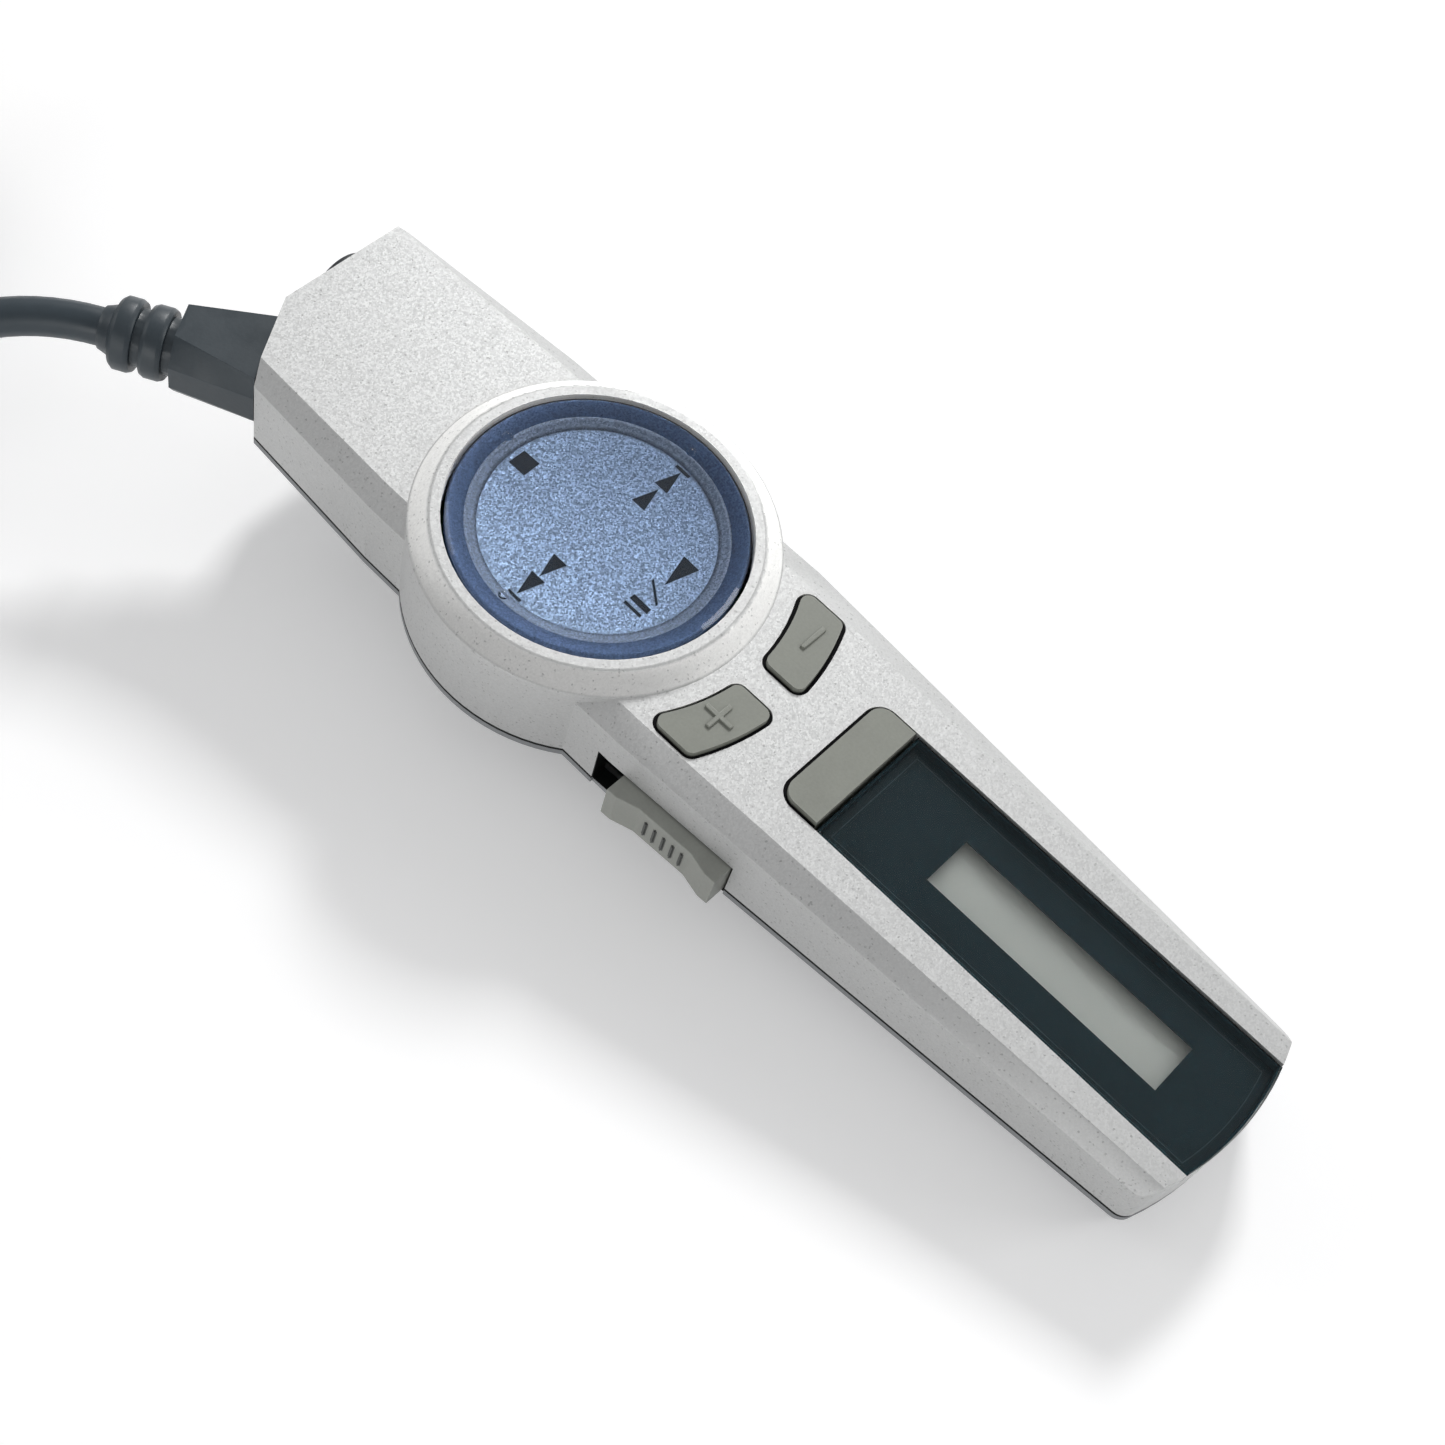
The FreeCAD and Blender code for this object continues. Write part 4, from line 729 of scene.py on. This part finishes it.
def key_gaps():
    """A near-black sheet in the gap round each key, a little below the face: painted shade
    for the gap.
    """
    # Painted shade: the near-black finish of the sheet in the key gaps.
    rubber = moulded("key_gap_shade", colour(0.006, 0.006, 0.007), 0.6, 0.7, shine=0.05)
    to_case = case_axes.inverted()
    for name in ("volume_up", "volume_down", "mode"):
        points = [to_case @ vertex.co
                  for vertex in frame["nodes"][name + "_button"].data.vertices]
        top = max(point.z for point in points)
        rim = list({(round(point.x, 3), round(point.y, 3)) for point in points
                    if point.z > top - 0.02})
        middle = [sum(point[k] for point in rim) / len(rim) for k in range(2)]
        rim.sort(key=lambda point: (math.atan2(point[1] - middle[1], point[0] - middle[0])
                                    + math.pi / 2) % math.tau)
        inner, outer = grown(rim, GAP_NEAR), grown(rim, GAP_FAR)
        outlines = [outer, inner]
        if name == "mode":
            foot = min(point[1] for point in rim)
            outlines = [[(x, max(y, foot)) for x, y in outer + inner[::-1]]]
        flat_piece(name + "_gap", outlines, *GAP_Z, rubber, "case", "contact_rubber")


def key_corners(silver):
    """Rounds the two upper corners of the mode key's opening."""
    x, y = MODE_OPEN_X, case_box("mode_button")[1].y - MODE_FLANGE
    turns = [math.radians(90 * k / CORNER_STEPS) for k in range(CORNER_STEPS + 1)]
    for name, side in (("left", -1), ("right", 1)):
        arc = [(side * (x - CORNER_R + CORNER_R * math.cos(turn)),
                y - CORNER_R + CORNER_R * math.sin(turn)) for turn in turns]
        flat_piece(f"mode_corner_{name}", [[(side * x, y)] + arc[::-side]],
                   CORNER_LOW, 0.0, silver, "case", "silver_shell")


def tapered(run, foot, side):
    """A size that is side at the ring's end of the wall and foot at the foot, at a run
    above that end."""
    return side + (side - foot) / (SIDE_END_Y - FOOT_Y) * run


def wall_half(y):
    """Half the case's width below the ring, at a place along Y."""
    return tapered(y - SIDE_END_Y, FOOT_HALF, SIDE_HALF)


def seam_depth(y):
    """How far the seam lies below the face, at a place along Y."""
    return tapered(min(y - SIDE_END_Y, 0), FOOT_SEAM, SIDE_SEAM)


def slot_shade_sheet():
    """A near-black lining in the hold knob's slot, painted shade for its shaded inside, seen
    where the knob has left it open.
    """
    # Painted shade: the slot's inside is coloured near-black.
    black = moulded("slot_painted_shade", colour(0.008, 0.009, 0.009), 0.5, 0.6, shine=0.1)
    shape = bmesh.new()
    rings = []
    for reach in LINER_REACH:
        for inset in (0.0, LINER_WALL):
            near, far = SLOT_Y[0] + inset, SLOT_Y[1] - inset
            low, high = SLOT_Z[0] + inset, SLOT_Z[1] - inset
            rings.append([shape.verts.new((reach - wall_half(y), y, z))
                          for y, z in ((near, low), (far, low), (far, high), (near, high))])
    for here, there in ((0, 1), (1, 3), (3, 2), (2, 0)):
        for k in range(4):
            after = (k + 1) % 4
            shape.faces.new((rings[here][k], rings[here][after],
                             rings[there][after], rings[there][k]))
    bmesh.ops.recalc_face_normals(shape, faces=shape.faces)
    link("slot_shade_sheet", mesh_from(shape, "slot_shade_sheet", case_axes), black, "case")


def seam_band(name, top, bottom, coat):
    """A band under the front casing's lower edge, from one depth below it to another."""
    shape = bmesh.new()
    shape.from_mesh(frame["nodes"]["front_casing"].data)
    bmesh.ops.remove_doubles(shape, verts=shape.verts, dist=WELD_REACH)
    bmesh.ops.transform(shape, matrix=case_axes.inverted(), verts=shape.verts)
    others = [face for face in shape.faces
              if any(abs(v.co.z + seam_depth(v.co.y)) > SEAM_NEAR for v in face.verts)]
    bmesh.ops.delete(shape, geom=others, context="FACES")
    bmesh.ops.translate(shape, vec=(0, 0, -top), verts=shape.verts)
    drawn = bmesh.ops.extrude_face_region(shape, geom=shape.faces[:],
                                          use_keep_orig=True)["geom"]
    moved = [item for item in drawn if isinstance(item, bmesh.types.BMVert)]
    bmesh.ops.translate(shape, vec=(0, 0, top - bottom), verts=moved)
    bmesh.ops.recalc_face_normals(shape, faces=shape.faces)
    link(name, mesh_from(shape, name, case_axes), coat, "case")


def seam_bands():
    """The joint under the front casing in near-black and the rear casing's rim below it in a
    darker grey than its silver, both painted shade.
    """
    # Painted shade: the seam gap's dark and the rear rim's shade are coloured into these bands.
    black = moulded("seam_gap_shade", colour(0.006, 0.006, 0.007), 0.5, 0.6, shine=0.1)
    grey = moulded("rear_rim_shade", colour(0.26, 0.27, 0.28), 0.45, 0.55)
    seam_band("seam_joint", 0.0, SEAM_HIGH, black)
    seam_band("rear_rim", SEAM_HIGH, RIM_LOW, grey)


# ---- hold knob and window -------------------------------------------------------------------

RIB_SINK = 0.8
RIB_SHIFT = 0.1
RIB_GAP = 0.75
RIB_WIDE = 0.28
RIB_DEEP = 0.5
RIB_Z = (-6.1, -4.4)
RIB_ROUND = 0.09
FOOT_BOW = 19.5
BOW_STEPS = 12
MASK_EDGE = 0.1
MASK_DROP = (0.06, 0.02)
SKIRT_EDGE = 0.22
SKIRT_SHORT = 0.3
STEP_EDGES = (0.8, 0.86)
STEP_DROP = (0.02, 0.01)
DISPLAY_VIEW = [(-1.8, -49.55), (2.1, -49.55), (2.1, -30.95), (-1.8, -30.95)]


def grip_ribs():
    """Five low ribs across the scoop of the hold knob, coloured near-black as painted shade."""
    # Painted shade: the ribs' near-black stands for the shade on and beside them.
    dark = moulded("rib_painted_shade", colour(0.07, 0.075, 0.07), 0.4, 0.5)
    low, high = case_box("hold_slider")
    slide = case_axes.inverted().to_3x3() @ Vector(joints["hold_slide"]["axis"])
    slide.normalize()
    upright = Vector((0, 0, 1))
    out = slide.cross(upright)
    out = out if out.x < 0 else -out
    turned = Matrix((slide, out, upright)).transposed().to_4x4()
    size = Matrix.Diagonal((RIB_WIDE, RIB_DEEP, RIB_Z[1] - RIB_Z[0], 1))
    middle = Vector((low.x + RIB_SINK, (low.y + high.y) / 2 - RIB_SHIFT, 0))
    shape = bmesh.new()
    for number in range(-2, 3):
        centre = middle + slide * number * RIB_GAP
        place = Matrix.Translation((centre.x, centre.y, (RIB_Z[0] + RIB_Z[1]) / 2))
        bmesh.ops.create_cube(shape, size=1, matrix=place @ turned @ size)
    bmesh.ops.bevel(shape, geom=shape.edges[:], offset=RIB_ROUND, segments=2, affect="EDGES")
    link("grip_ribs", mesh_from(shape, "grip_ribs", case_axes), dark, "hold_knob")


def window_outline(low, high, inward):
    """The window's edge in plan: three straight sides and the bowed foot."""
    radius = FOOT_BOW - inward
    centre = low.y + FOOT_BOW
    side = high.x - inward
    turn = math.asin(side / radius)
    turns = [turn * (2 * k / BOW_STEPS - 1) for k in range(BOW_STEPS + 1)]
    bow = [(radius * math.sin(t), centre - radius * math.cos(t)) for t in turns]
    return bow + [(side, high.y - inward), (-side, high.y - inward)]


def window_mask():
    """The dark print on the window's underside, open over the display, the dark skirt at its
    edge, and a fine lighter line where its step lies, a painted highlight of the step's edge."""
    ink = moulded("mask_ink", colour(0.010, 0.036, 0.048), 0.35, 0.45, 0.04, 0.05, shine=0.05)
    # Painted highlight: the lighter line stands for light on the window's step.
    line = moulded("window_step_highlight", colour(0.05, 0.09, 0.11), 0.35, 0.45, 0.04, 0.05, shine=0.05)
    low, high = case_box("display_window")
    edge = window_outline(low, high, MASK_EDGE)
    skirt = window_outline(low, high, SKIRT_EDGE)
    step = [window_outline(low, high, inward) for inward in STEP_EDGES]
    for name, outlines, bottom, top, ink_and_step_highlight in (
            ("window_mask", [edge, DISPLAY_VIEW], low.z - MASK_DROP[0], low.z - MASK_DROP[1],
             ink),
            ("window_skirt", [edge, skirt], low.z - MASK_DROP[1], high.z - SKIRT_SHORT, ink),
            ("window_step_highlight", step, low.z - STEP_DROP[0], low.z - STEP_DROP[1], line)):
        flat_piece(name, outlines, bottom, top, ink_and_step_highlight, "case", "smoked_window")


# ---- stage and light ------------------------------------------------------------------------

FLOOR_HALF = 3.0
FLOOR_GLOW = 0.26


def add_floor():
    """A wide pale floor that keeps the shadow and reads as white."""
    shape = bmesh.new()
    bmesh.ops.create_grid(shape, x_segments=1, y_segments=1, size=FLOOR_HALF)
    floor = bpy.data.objects.new("floor", mesh_from(shape, "floor"))
    bpy.context.scene.collection.objects.link(floor)
    material, wire, shader = new_finish("floor_white")
    shader.inputs["Base Color"].default_value = colour(0.86, 0.86, 0.86)
    shader.inputs["Roughness"].default_value = 0.9
    path = wire.node("LightPath")
    seen = wire.maths("MAXIMUM", path.outputs["Is Camera Ray"],
                      wire.maths("MAXIMUM", path.outputs["Is Glossy Ray"],
                                 path.outputs["Is Transmission Ray"]))
    shader.inputs["Emission Color"].default_value = colour(1, 1, 1)
    wire.join(wire.maths("MULTIPLY", seen, FLOOR_GLOW), shader.inputs["Emission Strength"])
    floor.data.materials.append(material)


def add_lamp(name, place, size, power):
    """A rectangular lamp aimed at the middle of the floor."""
    lamp = bpy.data.objects.new(name, bpy.data.lights.new(name, "AREA"))
    lamp.data.shape = "RECTANGLE"
    lamp.data.size, lamp.data.size_y = size
    lamp.data.energy = power
    lamp.location = place
    lamp.rotation_euler = (-Vector(place)).to_track_quat("-Z", "Y").to_euler()
    bpy.context.scene.collection.objects.link(lamp)


def add_world():
    """A plain studio room, lighter on the side of the lamps."""
    world = bpy.data.worlds.new("studio")
    bpy.context.scene.world = world
    world.use_nodes = True
    wire = Wiring(world.node_tree)
    ground = world.node_tree.nodes["Background"]
    side = wire.vector("DOT_PRODUCT", wire.node("TexCoord").outputs["Generated"],
                       (0.85, 0.35, 0.4))
    share = wire.spread(side, 0.0, 1.0, -0.8, 0.9)
    wire.join(wire.mix(share, colour(0.27, 0.27, 0.275), colour(0.47, 0.47, 0.475)),
              ground.inputs["Color"])


def add_light():
    add_world()
    add_lamp("side_box", (0.94, 0.43, 0.80), (0.24, 0.24), 9.8)
    add_lamp("back_box", (-0.35, 0.95, 0.55), (0.6, 0.4), 1.0)
    add_lamp("left_fill", (-1.0, -0.3, 0.24), (0.8, 0.4), 2.2)
    add_lamp("foot_fill", (0.75, -0.8, 0.5), (0.5, 0.4), 2.8)


add_camera()
add_cord()
silver = dress_casing()
dress_disc()
disc_signs()
key_grey = dress_keys()
key_signs(key_grey)
key_gaps()
grip_ribs()
key_corners(silver)
slot_shade_sheet()
seam_bands()
dress_window()
window_mask()
dress_inside()
dress_back()
dress_cord_ends()
add_floor()
add_light()
bpy.context.scene.view_settings.view_transform = "Standard"
